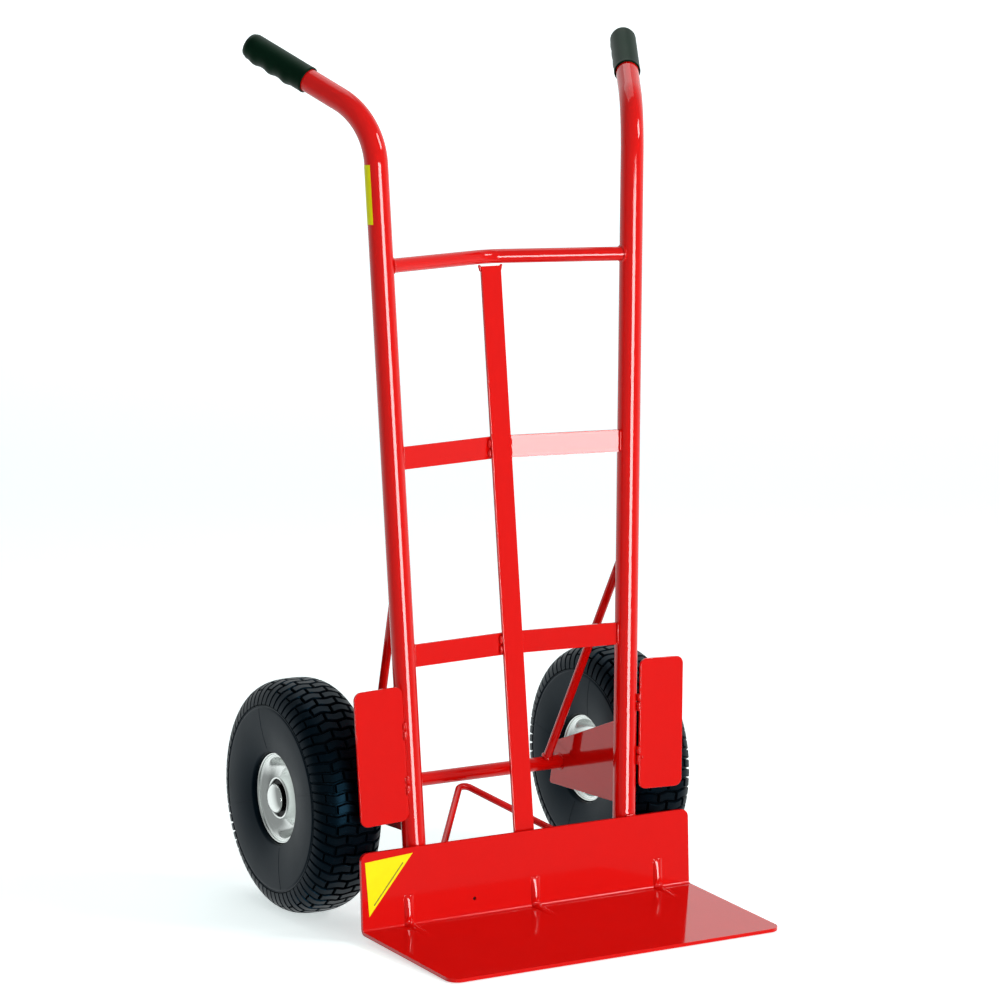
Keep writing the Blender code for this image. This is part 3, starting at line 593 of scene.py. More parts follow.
bar_reach = upright_x(TOP_BAR_UP) - TUBE_RADIUS * 0.75
bar_middle = on_frame(0, TOP_BAR_UP, TUBE_BACK) + Vector((0, TOP_BAR_BOW, 0))
bar_ends = [on_frame(sign * bar_reach, TOP_BAR_UP, TUBE_BACK) for _, sign in SIDES]
top_path = fillet([bar_ends[0], bar_middle, bar_ends[1]], 0.060, 20)
round_bar("bowed_top_bar", top_path, TOP_BAR_RADIUS, "top_cross_bar")

axle_middle = Vector((0, axle_y, axle_z))
brace_ends = {}
for side, sign in SIDES:
    top_x = upright_x(BRACE_TOP_UP) - 0.002
    top = on_frame(sign * top_x, BRACE_TOP_UP, TUBE_BACK + TUBE_RADIUS)
    foot_x = sign * (upright_x(axle_z) - 0.0220)
    foot = Vector((foot_x, axle_y, axle_z))
    down = (foot - top).normalized()
    foot -= down * (AXLE_RADIUS + BRACE_RADIUS * 0.5)
    brace_ends[side] = (top, foot, down)
    round_bar(f"{side}_brace_bar", [top - down * 0.008, foot], BRACE_RADIUS, f"{side}_brace")

stay_feet = [on_frame(sign * (FOOT_HALF_SPACING - TUBE_RADIUS), STAY_FOOT_UP,
                      SHEET + STAY_RADIUS + 0.0003) for _, sign in SIDES]
stay_middle = (stay_feet[0] + stay_feet[1]) / 2
slope = math.atan2(axle_z - stay_middle.z, axle_y - stay_middle.y)
clear = AXLE_RADIUS + STAY_RADIUS + 0.0003
stay_apex = axle_middle + Vector((0, math.sin(-slope - 0.35), -math.cos(slope - 0.35))) * clear
half_angle = (stay_feet[1] - stay_apex).angle(stay_middle - stay_apex)
beyond = 0.010 * (1 / math.sin(half_angle) - 1)
stay_tip = stay_apex + (stay_apex - stay_middle).normalized() * beyond
round_bar("bent_stay", fillet([stay_feet[0], stay_tip, stay_feet[1]], 0.010, 16), STAY_RADIUS,
          "toe_stay")

for name in ("axle", "left_spacer_sleeve", "right_spacer_sleeve"):
    coat(name, red_coat)
print("brace length", round((brace_ends["left"][0] - brace_ends["left"][1]).length, 3), "m")

# %% [markdown]
# ## Toe plate
#
# The toe plate is one sheet with round corners, folded once, with three darts pressed into
# the fold to stiffen it. The lesson makes it the same way: a flat blank is cut into strips
# where it will bend, each point is moved to where the fold takes it, and a Solidify
# modifier gives the sheet its thickness.

# %% Fold the toe plate
TOE_REACH = 0.191
HEEL_RISE = 0.007
BACK_PLATE_UP = 0.097
BACK_PLATE_WIDTH = 0.422
TOE_FRONT_WIDTH = 0.417
FOLD_RADIUS = 0.003
DRILLED_HOLE = (-0.0706, 0.0298)
HOLE_RADIUS = 0.0020
DART_PLACES = (-0.153, 0.008, 0.169)
DART_UP = 0.031             # how far each dart reaches up the back plate
DART_OUT = 0.048            # and out along the toe
DART_HALF_WIDTH = 0.0060
DART_DEPTH = 0.0060

dip = math.asin(HEEL_RISE / TOE_REACH)
toe_way = Vector((0, -math.cos(dip), -math.sin(dip)))
fold_height = SHEET + HEEL_RISE
fold_corner = on_frame(0, fold_height / math.cos(LEAN), 0)
fold_turn = math.pi / 2 - LEAN - dip
fold_run = FOLD_RADIUS * math.tan(fold_turn / 2)
fold_arc = FOLD_RADIUS * fold_turn
fold_centre = fold_corner + UP_FRAME * fold_run - BACKWARDS * FOLD_RADIUS
back_top = BACK_PLATE_UP - fold_height / math.cos(LEAN) - fold_run
toe_front = -(fold_arc + (TOE_REACH + fold_corner.y - heel_y) / math.cos(dip) - fold_run)


def folded(x, s):
    """Where a point of the flat blank ends up. s runs down the back plate and out the toe."""
    if s >= 0:
        return fold_corner + UP_FRAME * (fold_run + s) + Vector((x, 0, 0))
    if s <= -fold_arc:
        return fold_corner + toe_way * (fold_run - s - fold_arc) + Vector((x, 0, 0))
    angle = -s / FOLD_RADIUS
    spoke = BACKWARDS * math.cos(angle) - UP_FRAME * math.sin(angle)
    return fold_centre + spoke * FOLD_RADIUS + Vector((x, 0, 0))


def dart_rise(x, s):
    """How far a dart pushes this point out of the corner."""
    if s > 0:
        away = min(s / DART_UP, 1.0)
        fade = max(1 - away ** 5, 0.0) ** 0.6 * (1 - 0.38 * away)
        half_width = DART_HALF_WIDTH
    else:
        away = min(max(-fold_arc - s, 0.0) / DART_OUT, 1.0)
        fade = 0.62 * (1 - away) ** 2
        half_width = DART_HALF_WIDTH * (1 - 0.3 * away)
    for place_x in DART_PLACES:
        across = abs(x - place_x) / half_width
        if across < 1:
            return DART_DEPTH * fade * math.cos(across * math.pi / 2) ** 0.6
    return 0.0


half_back, half_front = BACK_PLATE_WIDTH / 2, TOE_FRONT_WIDTH / 2
blank = [Vector((-half_back, -fold_arc, 0)), Vector((-half_front, toe_front, 0)),
         Vector((half_front, toe_front, 0)), Vector((half_back, -fold_arc, 0)),
         Vector((half_back, back_top, 0)), Vector((-half_back, back_top, 0))]
front_edge = fillet(blank[0:4], 0.014, 14)
back_edge = fillet([blank[3], *blank[4:6], blank[0]], 0.009, 10)
bm = bmesh.new()
bm.faces.new([bm.verts.new(point) for point in front_edge + back_edge[1:-1]])


def slice_blank(point, normal):
    everything = bm.verts[:] + bm.edges[:] + bm.faces[:]
    bmesh.ops.bisect_plane(bm, geom=everything, plane_co=point, plane_no=normal, dist=1e-7)


for place_x in DART_PLACES:
    for k in range(-10, 11):
        slice_blank((place_x + DART_HALF_WIDTH * k / 10, 0, 0), (1, 0, 0))
for k in range(0, 17):
    slice_blank((0, DART_UP * math.sin(math.pi * k / 32), 0), (0, 1, 0))
    slice_blank((0, -fold_arc - DART_OUT * k / 16, 0), (0, 1, 0))
for k in range(1, 12):
    slice_blank((0, -fold_arc * k / 12, 0), (0, 1, 0))
out_of_corner = (-BACKWARDS + UP_FRAME).normalized()
for vert in bm.verts:
    x, s = vert.co.x, vert.co.y
    vert.co = folded(x, s) + out_of_corner * dart_rise(x, s)
bm.normal_update()
widest = max(bm.faces, key=lambda face: face.calc_area())
if widest.normal.z < 0:
    bmesh.ops.reverse_faces(bm, faces=bm.faces)
toe = finish_mesh("folded_toe_plate", bm, red_coat, 30, outward=False)
thick = toe.modifiers.new("sheet", "SOLIDIFY")
thick.thickness = SHEET
thick.offset = -1.0
thick.use_even_offset = True
bm = bmesh.new()
drill_way = BACKWARDS * 0.012
sweep(bm, [on_frame(*DRILLED_HOLE, 0) - drill_way, on_frame(*DRILLED_HOLE, 0) + drill_way],
      HOLE_RADIUS, 32)
drill = finish_mesh("drill", bm, red_coat, 30)
drilled = toe.modifiers.new("hole", "BOOLEAN")
drilled.object = drill
drilled.operation = "DIFFERENCE"
drilled.solver = "EXACT"
now = bpy.context.evaluated_depsgraph_get()
with_hole = bpy.data.meshes.new_from_object(toe.evaluated_get(now))
toe.modifiers.clear()
toe.data = with_hole
bpy.data.objects.remove(drill)
# Painted shade: a black disc just behind the drilled hole makes the hole read dark.
bm = bmesh.new()
painted_shade_disc_rear = on_frame(*DRILLED_HOLE, SHEET - 0.0002)
sweep(bm, [painted_shade_disc_rear - BACKWARDS * 0.0012, painted_shade_disc_rear], HOLE_RADIUS, 32)
painted_shade_disc = finish_mesh("hole_painted_shade_disc", bm, seal_rubber, 30)
belongs(painted_shade_disc, "frame", "tyre")
soften(toe, 0.0008, 50)
belongs(toe, "frame", "red_paint", "toe_plate")

# %% [markdown]
# ## Weld beads
#
# The frame is MIG welded. A bead is a row of overlapping ripples, one for each pulse of the
# welder's hand, so a swept bar whose radius rises and falls gives its look. The beads follow
# the joints: round the ends of the bars, along the guards and under the axle.

# %% Lay the weld beads
RIPPLE = 0.0024
FLAT_BARS_UP = (0.522, 0.3045)

def lay_bead(bm, path, radius):
    """Adds one rippled bead along a path to the mesh."""
    length = sum((b - a).length for a, b in zip(path, path[1:]))
    count = max(6, int(length / RIPPLE * 4))
    points, walked, k = [], 0.0, 0
    for i in range(count + 1):
        target = length * i / count
        while k < len(path) - 2 and walked + (path[k + 1] - path[k]).length < target:
            walked += (path[k + 1] - path[k]).length
            k += 1
        span = (path[k + 1] - path[k]).length
        points.append(path[k].lerp(path[k + 1], min(1.0, (target - walked) / span)))
    radii = []
    for i, point in enumerate(points):
        along = length * i / count
        ends = min(1.0, (0.4 + min(along, length - along) / (radius * 1.4))) ** 0.5
        ripple = 0.86 + 0.14 * abs(math.sin(math.pi * along / RIPPLE))
        radii.append(radius * ends * ripple * random.uniform(0.94, 1.06))
    sweep(bm, points, radii, 10)


def ring_path(centre, way, radius, start, end):
    """Points round a bar's end, from one angle to another, in degrees."""
    placed = axis_matrix(centre, way)
    angles = [math.radians(start + (end - start) * k / 24) for k in range(25)]
    return [placed @ Vector((radius * math.cos(a), radius * math.sin(a), 0)) for a in angles]


def weld_piece(name, bm):
    belongs(finish_mesh(name, bm, weld_coat, 60), "frame", "red_paint")


bm = bmesh.new()
for _, sign in SIDES:
    surface_x = sign * (upright_x(TOP_BAR_UP) - TUBE_RADIUS * 0.93)
    centre = on_frame(surface_x, TOP_BAR_UP, TUBE_BACK) + Vector((0, 0.0006, 0))
    lay_bead(bm, ring_path(centre, Vector((1, 0, 0)), TOP_BAR_RADIUS + 0.0003, 0, 358), 0.0019)
weld_piece("top_bar_welds", bm)

bm = bmesh.new()
for up in FLAT_BARS_UP:
    for _, sign in SIDES:
        for face in (-1, 1):
            ends = []
            for step_up in (-0.0115, 0.0115):
                x = sign * (upright_x(up + step_up) - TUBE_RADIUS * 0.985)
                ends.append(on_frame(x, up + step_up, TUBE_BACK + face * 0.0026))
            lay_bead(bm, ends, 0.0018)
weld_piece("flat_bar_welds", bm)

bm = bmesh.new()
for side, sign in SIDES:
    for start, end in ((0.1540, 0.1650), (0.1660, 0.1745), (0.2150, 0.2250), (0.2262, 0.2345)):
        for depth, bead_radius in ((0.0056, 0.0027), (0.0094, 0.0022)):
            points = [on_frame(sign * (upright_x(up) + guard_inner + 0.0002
                                       + GUARD_SLIT[side] / 2), up, depth)
                      for up in (start, (start + end) / 2, end)]
            lay_bead(bm, points, bead_radius)
spatter = on_frame(upright_x(0.1617) + guard_inner + 0.0065, 0.1617, GUARD_BACK - 0.0002)
bmesh.ops.create_uvsphere(bm, u_segments=12, v_segments=8, radius=0.0013,
                          matrix=Matrix.Translation(spatter))
weld_piece("guard_welds", bm)

bm = bmesh.new()
bracket_x = upright_x(axle_z)
for side, sign in SIDES:
    for start, end in ((0.108, 0.126), (0.150, 0.166), (0.186, 0.202)):
        for face in (-1, 1):
            points = [on_frame(sign * bracket_x + face * 0.0026, up, TUBE_BACK + TUBE_RADIUS)
                      for up in (start, end)]
            lay_bead(bm, points, 0.0018)
    for face in (-1, 1):
        centre = Vector((sign * bracket_x + face * 0.0022, axle_y, axle_z))
        lay_bead(bm, ring_path(centre, Vector((1, 0, 0)), AXLE_RADIUS + 0.0006, -150, 150), 0.0017)
weld_piece("bracket_welds", bm)

bm = bmesh.new()
for side, sign in SIDES:
    top, foot, down = brace_ends[side]
    for face in (-1, 1):
        offset = Vector((face * (BRACE_RADIUS - 0.0004), 0, 0))
        lay_bead(bm, [top + down * d + offset - BACKWARDS * 0.0004 for d in (-0.010, 0.0, 0.010)],
                 0.0016)
    seat = foot + down * (BRACE_RADIUS * 0.15)
    lay_bead(bm, ring_path(seat, -down, BRACE_RADIUS + 0.0004, 0, 350), 0.0017)
weld_piece("brace_welds", bm)

bm = bmesh.new()
for foot, (_, sign) in zip(stay_feet, SIDES):
    for lift in (-1, 1):
        ends = [foot + Vector((-sign * d, 0, lift * (STAY_RADIUS + 0.0002))) - BACKWARDS * 0.003
                for d in (-0.002, 0.010)]
        lay_bead(bm, ends, 0.0017)
weld_middle = stay_apex.lerp(axle_middle, 0.33)
for face in (-1, 1):
    lay_bead(bm, [weld_middle + Vector((x, face * 0.0030, 0)) for x in (-0.009, 0.0, 0.009)],
             0.0021)
weld_piece("stay_welds", bm)

bm = bmesh.new()
for _, sign in SIDES:
    for face in (-1, 1):
        points = [on_frame(sign * upright_x(up) + face * 0.0055, up, SHEET + 0.0014)
                  for up in (0.020, 0.055, 0.092)]
        lay_bead(bm, points, 0.0019)
    points = [on_frame(sign * upright_x(0.097) + x, 0.0975, SHEET - 0.0006)
              for x in (-0.006, 0.0, 0.006)]
    lay_bead(bm, points, 0.0015)
strap_foot_back = SHEET + 0.0003
lay_bead(bm, [on_frame(x, 0.0395, strap_foot_back + 0.0016) for x in (-0.010, 0.0, 0.010)], 0.0019)
weld_piece("toe_plate_welds", bm)

bm = bmesh.new()
strap_top_up = TOP_BAR_UP - TOP_BAR_RADIUS - 0.0003
strap_top_back = TUBE_BACK + TOP_BAR_BOW - 0.008
for face in (-1, 1):
    points = [on_frame(x, strap_top_up + 0.0004, strap_top_back + face * 0.0022)
              for x in (-0.0125, 0.0, 0.0125)]
    lay_bead(bm, points, 0.0021)
    points = [on_frame(face * x, strap_top_up + lift, strap_top_back + 0.0006)
              for x, lift in ((0.0124, -0.0055), (0.0130, -0.0015), (0.0146, 0.0012))]
    lay_bead(bm, points, 0.0019)
for up in FLAT_BARS_UP:
    share = (up - 0.040) / (strap_top_up - 0.040)
    back = strap_foot_back + 0.002 + (strap_top_back - strap_foot_back - 0.002) * share
    for edge_x, bead_radius in ((-0.0136, 0.0024), (0.0134, 0.0018)):
        for low, high in ((-0.0100, -0.0015), (0.0005, 0.0095)):
            points = [on_frame(edge_x, up + lift, back + 0.0018)
                      for lift in (low, (low + high) / 2, high)]
            lay_bead(bm, points, bead_radius)
weld_piece("strap_welds", bm)

# %% [markdown]
# ## Tyres
#
# A pneumatic tyre is a rounded carcass with its tread moulded on. The carcass here is a
# turned profile, sunk a little where the tread stands, and its sidewall stands proud of the
# rim it grips. Each tread block is its own short bar of rubber that follows the curve of the
# carcass. The blocks are laid like bricks: rows of long, slightly wavy blocks run across the
# tread, each row's slits fall in the middle of its neighbours' blocks, and the outermost
# blocks run over the shoulder as ribs and end at a fine ring that the mould leaves.

# %% Describe the tyre's section
TYRE_RADIUS = 0.1316
TYRE_HALF_WIDTH = 0.0412
SECTION_CENTRE = 0.092
SECTION_POWER = 2.9
TREAD_DEPTH = 0.0052
TREAD_ROWS = 68
SHOULDER_START = 0.0300
SHOULDER_END = 0.0540
MOULD_LINE = 0.0566
BEAD_CREST = 0.0555         # where the sidewall turns down to the rim

section = []
for k in range(301):
    angle = math.pi / 2 * k / 300
    c, s = math.cos(angle), math.sin(angle)
    section.append((SECTION_CENTRE + (TYRE_RADIUS - SECTION_CENTRE) * c ** (2 / SECTION_POWER),
                    TYRE_HALF_WIDTH * s ** (2 / SECTION_POWER)))
for k in range(1, 61):
    inward = (SECTION_CENTRE - BEAD_CREST) * k / 60
    section.append((SECTION_CENTRE - inward, TYRE_HALF_WIDTH - 0.0046 * (k / 60) ** 2.0))
wall_foot = [Vector((BEAD_CREST, section[-1][1], 0)), Vector((0.0521, 0.0358, 0)),
             Vector((0.0515, 0.0300, 0))]
section += [(p.x, p.y) for p in fillet(wall_foot, 0.0025, 8)[1:]]
lengths = [0.0]
for (r0, z0), (r1, z1) in zip(section, section[1:]):
    lengths.append(lengths[-1] + math.hypot(r1 - r0, z1 - z0))


def section_at(u):
    """The section at a distance u from the tread's middle: radius, height and outward way."""
    side_sign, u = (-1 if u < 0 else 1), min(abs(u), lengths[-1] - 1e-6)
    low, high = 0, len(lengths) - 1
    while high - low > 1:
        middle = (low + high) // 2
        low, high = (middle, high) if lengths[middle] <= u else (low, middle)
    share = (u - lengths[low]) / (lengths[high] - lengths[low])
    (r0, z0), (r1, z1) = section[low], section[high]
    size = math.hypot(r1 - r0, z1 - z0)
    return (r0 + (r1 - r0) * share, side_sign * (z0 + (z1 - z0) * share),
            (z1 - z0) / size, side_sign * (r0 - r1) / size)


def on_tyre(s, u, height):
    """A point of the tyre: s round the tread, u across it, and a height above the skin."""
    r, z, out_r, out_z = section_at(u)
    r, z = r + out_r * height, z + out_z * height
    angle = s / TYRE_RADIUS
    return Vector((r * math.cos(angle), r * math.sin(angle), z))


print("from tread middle to bead:", round(lengths[-1], 4), "m")


# %% Mould the tyres
def tread_block(bm, s_mid, u_start, u_end, steps, top=0.0, half_length=None):
    """One block of a row across the tread, with softened top edges and a closed base."""
    levels = ((-TREAD_DEPTH - 0.0008, 0.0006), (top - 0.0007, 0.0), (top, -0.0006))
    rings = []
    for level, grow in levels:
        near, far = [], []
        for k in range(steps + 1):
            u = u_start + (u_end - u_start) * k / steps
            u += grow * (-1 if k == 0 else 1 if k == steps else 0)
            middle = s_mid + (0.0 if half_length else row_wave(u))
            wide = (half_length or block_half_length(u)) + grow
            near.append(bm.verts.new(on_tyre(middle - wide, u, level)))
            far.append(bm.verts.new(on_tyre(middle + wide, u, level)))
        rings.append((near, far))
    for (near_a, far_a), (near_b, far_b) in zip(rings, rings[1:]):
        bridge(bm, near_a + far_a[::-1], near_b + far_b[::-1])
    for near, far in (rings[0], rings[-1]):
        bridge(bm, near, far, close=False)


def carcass_profile():
    """The closed outline of the rubber, sunk under the tread, out to the bead and back."""
    outer = []
    reach = lengths[-1]
    for k in range(-90, 91):
        u = reach * k / 90
        r, z, out_r, out_z = section_at(u)
        far = abs(u)
        share = (far - SHOULDER_START) / (SHOULDER_END - SHOULDER_START)
        sink = TREAD_DEPTH * (1 - 0.72 * min(max(share, 0.0), 1.0) ** 0.8)
        sink *= min(max((SHOULDER_END + 0.0018 - far) / 0.0018, 0.0), 1.0)
        if abs(far - MOULD_LINE) < 0.0006:
            sink = 0.0007
        outer.append((r - out_r * sink, z - out_z * sink))
    bead = [(0.0513, 0.0286), (0.0490, 0.0268), (0.0470, 0.0256), (0.0465, 0.0215)]
    inner = []
    for k in range(20, -21, -1):
        u = (reach - 0.030) * k / 20
        r, z, out_r, out_z = section_at(u)
        inner.append((r - out_r * 0.0075, z - out_z * 0.0075))
    return outer + bead + inner + [(r, -z) for r, z in bead[::-1]]


pitch = 2 * math.pi * TYRE_RADIUS / TREAD_ROWS
BLOCK = 0.0240              # one block and one slit, across the tread
SLIT = 0.0030
GROOVE = 0.0032             # between one row and the next
WAVE = 0.0012
SLANT = 0.0030
SLANT_RUN = 0.013


def row_wave(u):
    """How far round the tyre a row strays at a distance u across it."""
    beyond = max(abs(u) - BLOCK * 1.5, 0.0)
    wave = -WAVE * math.cos(2 * math.pi * min(abs(u), BLOCK * 1.5) / BLOCK)
    return wave + SLANT * beyond / SLANT_RUN


def block_half_length(u):
    """Half a block's length round the tyre: grooves close up over the shoulder."""
    share = min(max((abs(u) - SHOULDER_START) / (SHOULDER_END - SHOULDER_START), 0.0), 1.0)
    return (pitch - GROOVE * (1 - 0.45 * share)) / 2


def wheel_matrix(side, sign):
    """Puts local Z along the axle, outwards, at the middle of the wheel."""
    return (Matrix.Translation(wheel_centre[f"{side}_wheel"])
            @ Matrix.Rotation(sign * math.pi / 2, 4, "Y"))


def make_tyre(side, sign):
    bm = bmesh.new()
    turn(bm, carcass_profile(), 136)
    gap, rib_end = SLIT / 2, SHOULDER_END + 0.0004
    for row in range(TREAD_ROWS):
        s_row = pitch * row
        if row % 2:
            blocks = [(-BLOCK / 2 + gap, BLOCK / 2 - gap, 6)]
            cut = BLOCK * 1.5
            outer = [(BLOCK / 2 + gap, cut - 0.0007, 6), (cut + 0.0007, rib_end, 8)]
        else:
            blocks = []
            outer = [(gap, BLOCK - gap, 6), (BLOCK + gap, rib_end, 11)]
        blocks += outer + [(-end, -start, steps) for start, end, steps in outer]
        for start, end, steps in blocks:
            tread_block(bm, s_row, start, end, steps)
    for mould_joint in range(4):
        s_joint = 2 * math.pi * TYRE_RADIUS * (mould_joint + 0.16) / 4
        for flank in (-1, 1):
            ends = sorted((flank * (MOULD_LINE + 0.001), flank * (lengths[-1] - 0.008)))
            tread_block(bm, s_joint, *ends, 14, 0.0002, 0.0006)
    tyre = finish_mesh(f"{side}_treaded_tyre", bm, tyre_rubber, 40)
    tyre.matrix_world = wheel_matrix(side, sign)
    belongs(tyre, f"{side}_wheel", "tyre", f"{side}_tyre")
    return tyre


for side, sign in SIDES:
    tyre = make_tyre(side, sign)
    coat(f"{side}_inner_tube", tyre_rubber)
print("faces in one tyre:", len(tyre.data.polygons))

# %% [markdown]
# ## Wheels
#
# Each wheel is pressed from two sheets. Every half has a flange that holds the tyre, with
# its edge rolled over, and a dish that runs in and down to a neck round the hub tube. The
# profile is turned as an open surface and given the sheet's thickness by Solidify.

# %% Press the wheel halves
RIM_SHEET = 0.0014
FLANGE_PROFILE = [(0.0503, 0.0280), (0.0510, 0.0286), (0.0513, 0.0296), (0.0510, 0.0307),
                  (0.0501, 0.0313), (0.0492, 0.0309), (0.0488, 0.0299), (0.0487, 0.0284),
                  (0.0484, 0.0276), (0.0478, 0.0275), (0.0474, 0.0282), (0.0468, 0.0287),
                  (0.0459, 0.0284), (0.0449, 0.0272), (0.0438, 0.0254), (0.0425, 0.0230),
                  (0.0409, 0.0204), (0.0389, 0.0177), (0.0365, 0.0153), (0.0338, 0.0138),
                  (0.0311, 0.0133), (0.0287, 0.0138), (0.0270, 0.0153), (0.0257, 0.0178),
                  (0.0248, 0.0209), (0.0243, 0.0240), (0.0240, 0.0272), (0.0238, 0.0294),
                  (0.0234, 0.0306), (0.0226, 0.0311), (0.0217, 0.0309), (0.0211, 0.0300),
                  (0.0209, 0.0285), (0.0208, 0.0262)]


def on_wheel(obj, side, sign, slot_name, *replaced):
    obj.matrix_world = wheel_matrix(side, sign)
    belongs(obj, f"{side}_wheel", slot_name, *replaced)


def turned_piece(name, profile, material, steps=96, closed=True, sharp=35.0):
    bm = bmesh.new()
    turn(bm, profile, steps, closed)
    return finish_mesh(name, bm, material, sharp)


for side, sign in SIDES:
    for half, way in (("outer", 1), ("inner", -1)):
        bm = bmesh.new()
        turn(bm, [(r, z * way) for r, z in FLANGE_PROFILE], 120, closed=False)
        bm.normal_update()
        if sum(f.normal.z * f.calc_area() for f in bm.faces) * way < 0:
            bmesh.ops.reverse_faces(bm, faces=bm.faces)
        dish = finish_mesh(f"{side}_{half}_pressing", bm, wheel_zinc, 60, outward=False)
        sheet = dish.modifiers.new("sheet", "SOLIDIFY")
        sheet.thickness = RIM_SHEET
        sheet.offset = -1.0
        on_wheel(dish, side, sign, "zinc", f"{side}_{half}_disc")
    barrel = [(0.0500, 0.0280), (0.0480, 0.0275), (0.0460, 0.0258), (0.0445, 0.0140),
              (0.0445, -0.0140), (0.0460, -0.0258), (0.0480, -0.0275), (0.0500, -0.0280),
              (0.0486, -0.0284), (0.0446, -0.0266), (0.0430, -0.0145), (0.0430, 0.0145),
              (0.0446, 0.0266), (0.0486, 0.0284)]
    well = turned_piece(f"{side}_rim_well", barrel, wheel_zinc, 96)
    on_wheel(well, side, sign, "zinc", f"{side}_rim_outer_half", f"{side}_rim_inner_half")

# %% [markdown]
# ## Hub, bearings and cap
#
# The hub is a short tube with a sealed ball bearing in each end. A bearing shows a steel
# ring, a black rubber seal set a little lower, and a smaller steel ring on the axle. A black
# ring lies over the hub's end round the bearing. A domed cap on a black collar, pushed onto the
# axle, keeps the wheel on and hides most of this.

# %% Turn the hub, bearings and cap
HUB_BORE = 0.0178
HUB_OUTER = 0.0198
BEARING_FACE = 0.0265
CAP_RADIUS = 0.0164


def bearing_rings(way):
    """Steel ring, seal and inner ring of one bearing, as closed profiles."""
    face, back = way * BEARING_FACE, way * (BEARING_FACE - 0.011)
    low = way * (BEARING_FACE - 0.0006)
    outer = [(0.0155, back), (0.0155, face), (0.0170, face), (0.0175, face - way * 0.0005),
             (0.0175, back)]
    seal = [(0.0105, back), (0.0105, low), (0.0112, low + way * 0.0003), (0.0140, low),
            (0.0150, low + way * 0.0003), (0.0154, low), (0.0154, back)]
    inner = [(0.0081, back), (0.0081, face - way * 0.0004), (0.0085, face), (0.0104, face),
             (0.0104, back)]
    return outer, seal, inner


for side, sign in SIDES:
    hub = turned_piece(f"{side}_hub_sleeve", [
        (HUB_OUTER - 0.0004, 0.0269), (HUB_BORE + 0.0005, 0.0269), (HUB_BORE, 0.0264),
        (HUB_BORE, -0.0264), (HUB_BORE + 0.0005, -0.0269), (HUB_OUTER - 0.0004, -0.0269),
        (HUB_OUTER, -0.0265), (HUB_OUTER, 0.0265)], wheel_zinc, 96)
    on_wheel(hub, side, sign, "zinc", f"{side}_hub_tube")
    for half, way in (("outer", 1), ("inner", -1)):
        outer, seal, inner = bearing_rings(way)
        steel = bmesh.new()
        turn(steel, outer, 72)
        turn(steel, inner, 72)
        rings = finish_mesh(f"{side}_{half}_bearing_rings", steel, bearing_steel, 35)
        on_wheel(rings, side, sign, "bearing_steel", f"{side}_{half}_bearing")
        black = turned_piece(f"{side}_{half}_bearing_seal", seal, seal_rubber, 72)
        on_wheel(black, side, sign, "tyre")
        # A black ring laid over the bearing's outer ring and the end of the hub tube.
        out = way * 0.0282
        black_hub_ring = turned_piece(f"{side}_{half}_black_hub_ring", [
            (0.0150, out - way * 0.0012), (0.0150, out - way * 0.0003), (0.0154, out),
            (0.0203, out), (0.0207, out - way * 0.0004), (0.0207, out - way * 0.0012)],
            seal_rubber, 72)
        on_wheel(black_hub_ring, side, sign, "tyre")
    dome = [(0.0, 0.0405)]
    for degrees in range(8, 91, 8):
        a = math.radians(min(degrees, 90))
        dome.append((CAP_RADIUS * math.sin(a), 0.0342 + 0.0063 * math.cos(a)))
    dome += [(CAP_RADIUS, 0.0337), (CAP_RADIUS - 0.0002, 0.0332), (CAP_RADIUS - 0.0010, 0.0332),
             (CAP_RADIUS - 0.0012, 0.0342), (0.0120, 0.0378), (0.0, 0.0395)]
    cap = turned_piece(f"{side}_domed_cap", dome, wheel_zinc, 72, closed=False, sharp=50)
    cap.matrix_world = wheel_matrix(side, sign)
    belongs(cap, "frame", "zinc", f"{side}_axle_cap")
    collar = turned_piece(f"{side}_cap_collar", [
        (0.0083, 0.0288), (0.0083, 0.0338), (0.0144, 0.0338), (0.0150, 0.0334),
        (0.0152, 0.0326), (0.0152, 0.0294), (0.0148, 0.0288)], seal_rubber, 72)
    collar.matrix_world = wheel_matrix(side, sign)
    belongs(collar, "frame", "tyre")
    for washer in ("inner_washer", "outer_washer"):
        coat(f"{side}_{washer}", wheel_zinc)
    for rubber in ("valve_stem", "valve_cap"):
        coat(f"{side}_{rubber}", seal_rubber)

# %% [markdown]
# ## Stickers
#
# Two plain yellow stickers: a triangle on the corner of the back plate and a narrow strip
# low on the handle side of one upright. Each is a thin skin a tenth of a millimetre above
# the paint, and the printed line is a thinner strip on it.

# %% Put on the stickers
STICKER_LIFT = 0.00015


def flat_sticker(name, corners, material, lift):
    """A thin sheet with the given (x, up) corners, just in front of the back plate."""
    bm = bmesh.new()
    front = [bm.verts.new(on_frame(x, up, -lift)) for x, up in corners]
    rear = [bm.verts.new(on_frame(x, up, 0.0001)) for x, up in corners]
    bm.faces.new(front)
    bm.faces.new(rear[::-1])
    bridge(bm, front, rear)
    belongs(finish_mesh(name, bm, material), "frame", "red_paint")


flat_sticker("triangle_sticker", [(-0.2063, 0.0868), (-0.1472, 0.0908), (-0.2026, 0.0265)],
             yellow_vinyl, STICKER_LIFT)
flat_sticker("triangle_print", [(-0.1600, 0.0823), (-0.1590, 0.0812), (-0.1960, 0.0378),
                                (-0.1970, 0.0389)], printed_ink, STICKER_LIFT + 0.00005)

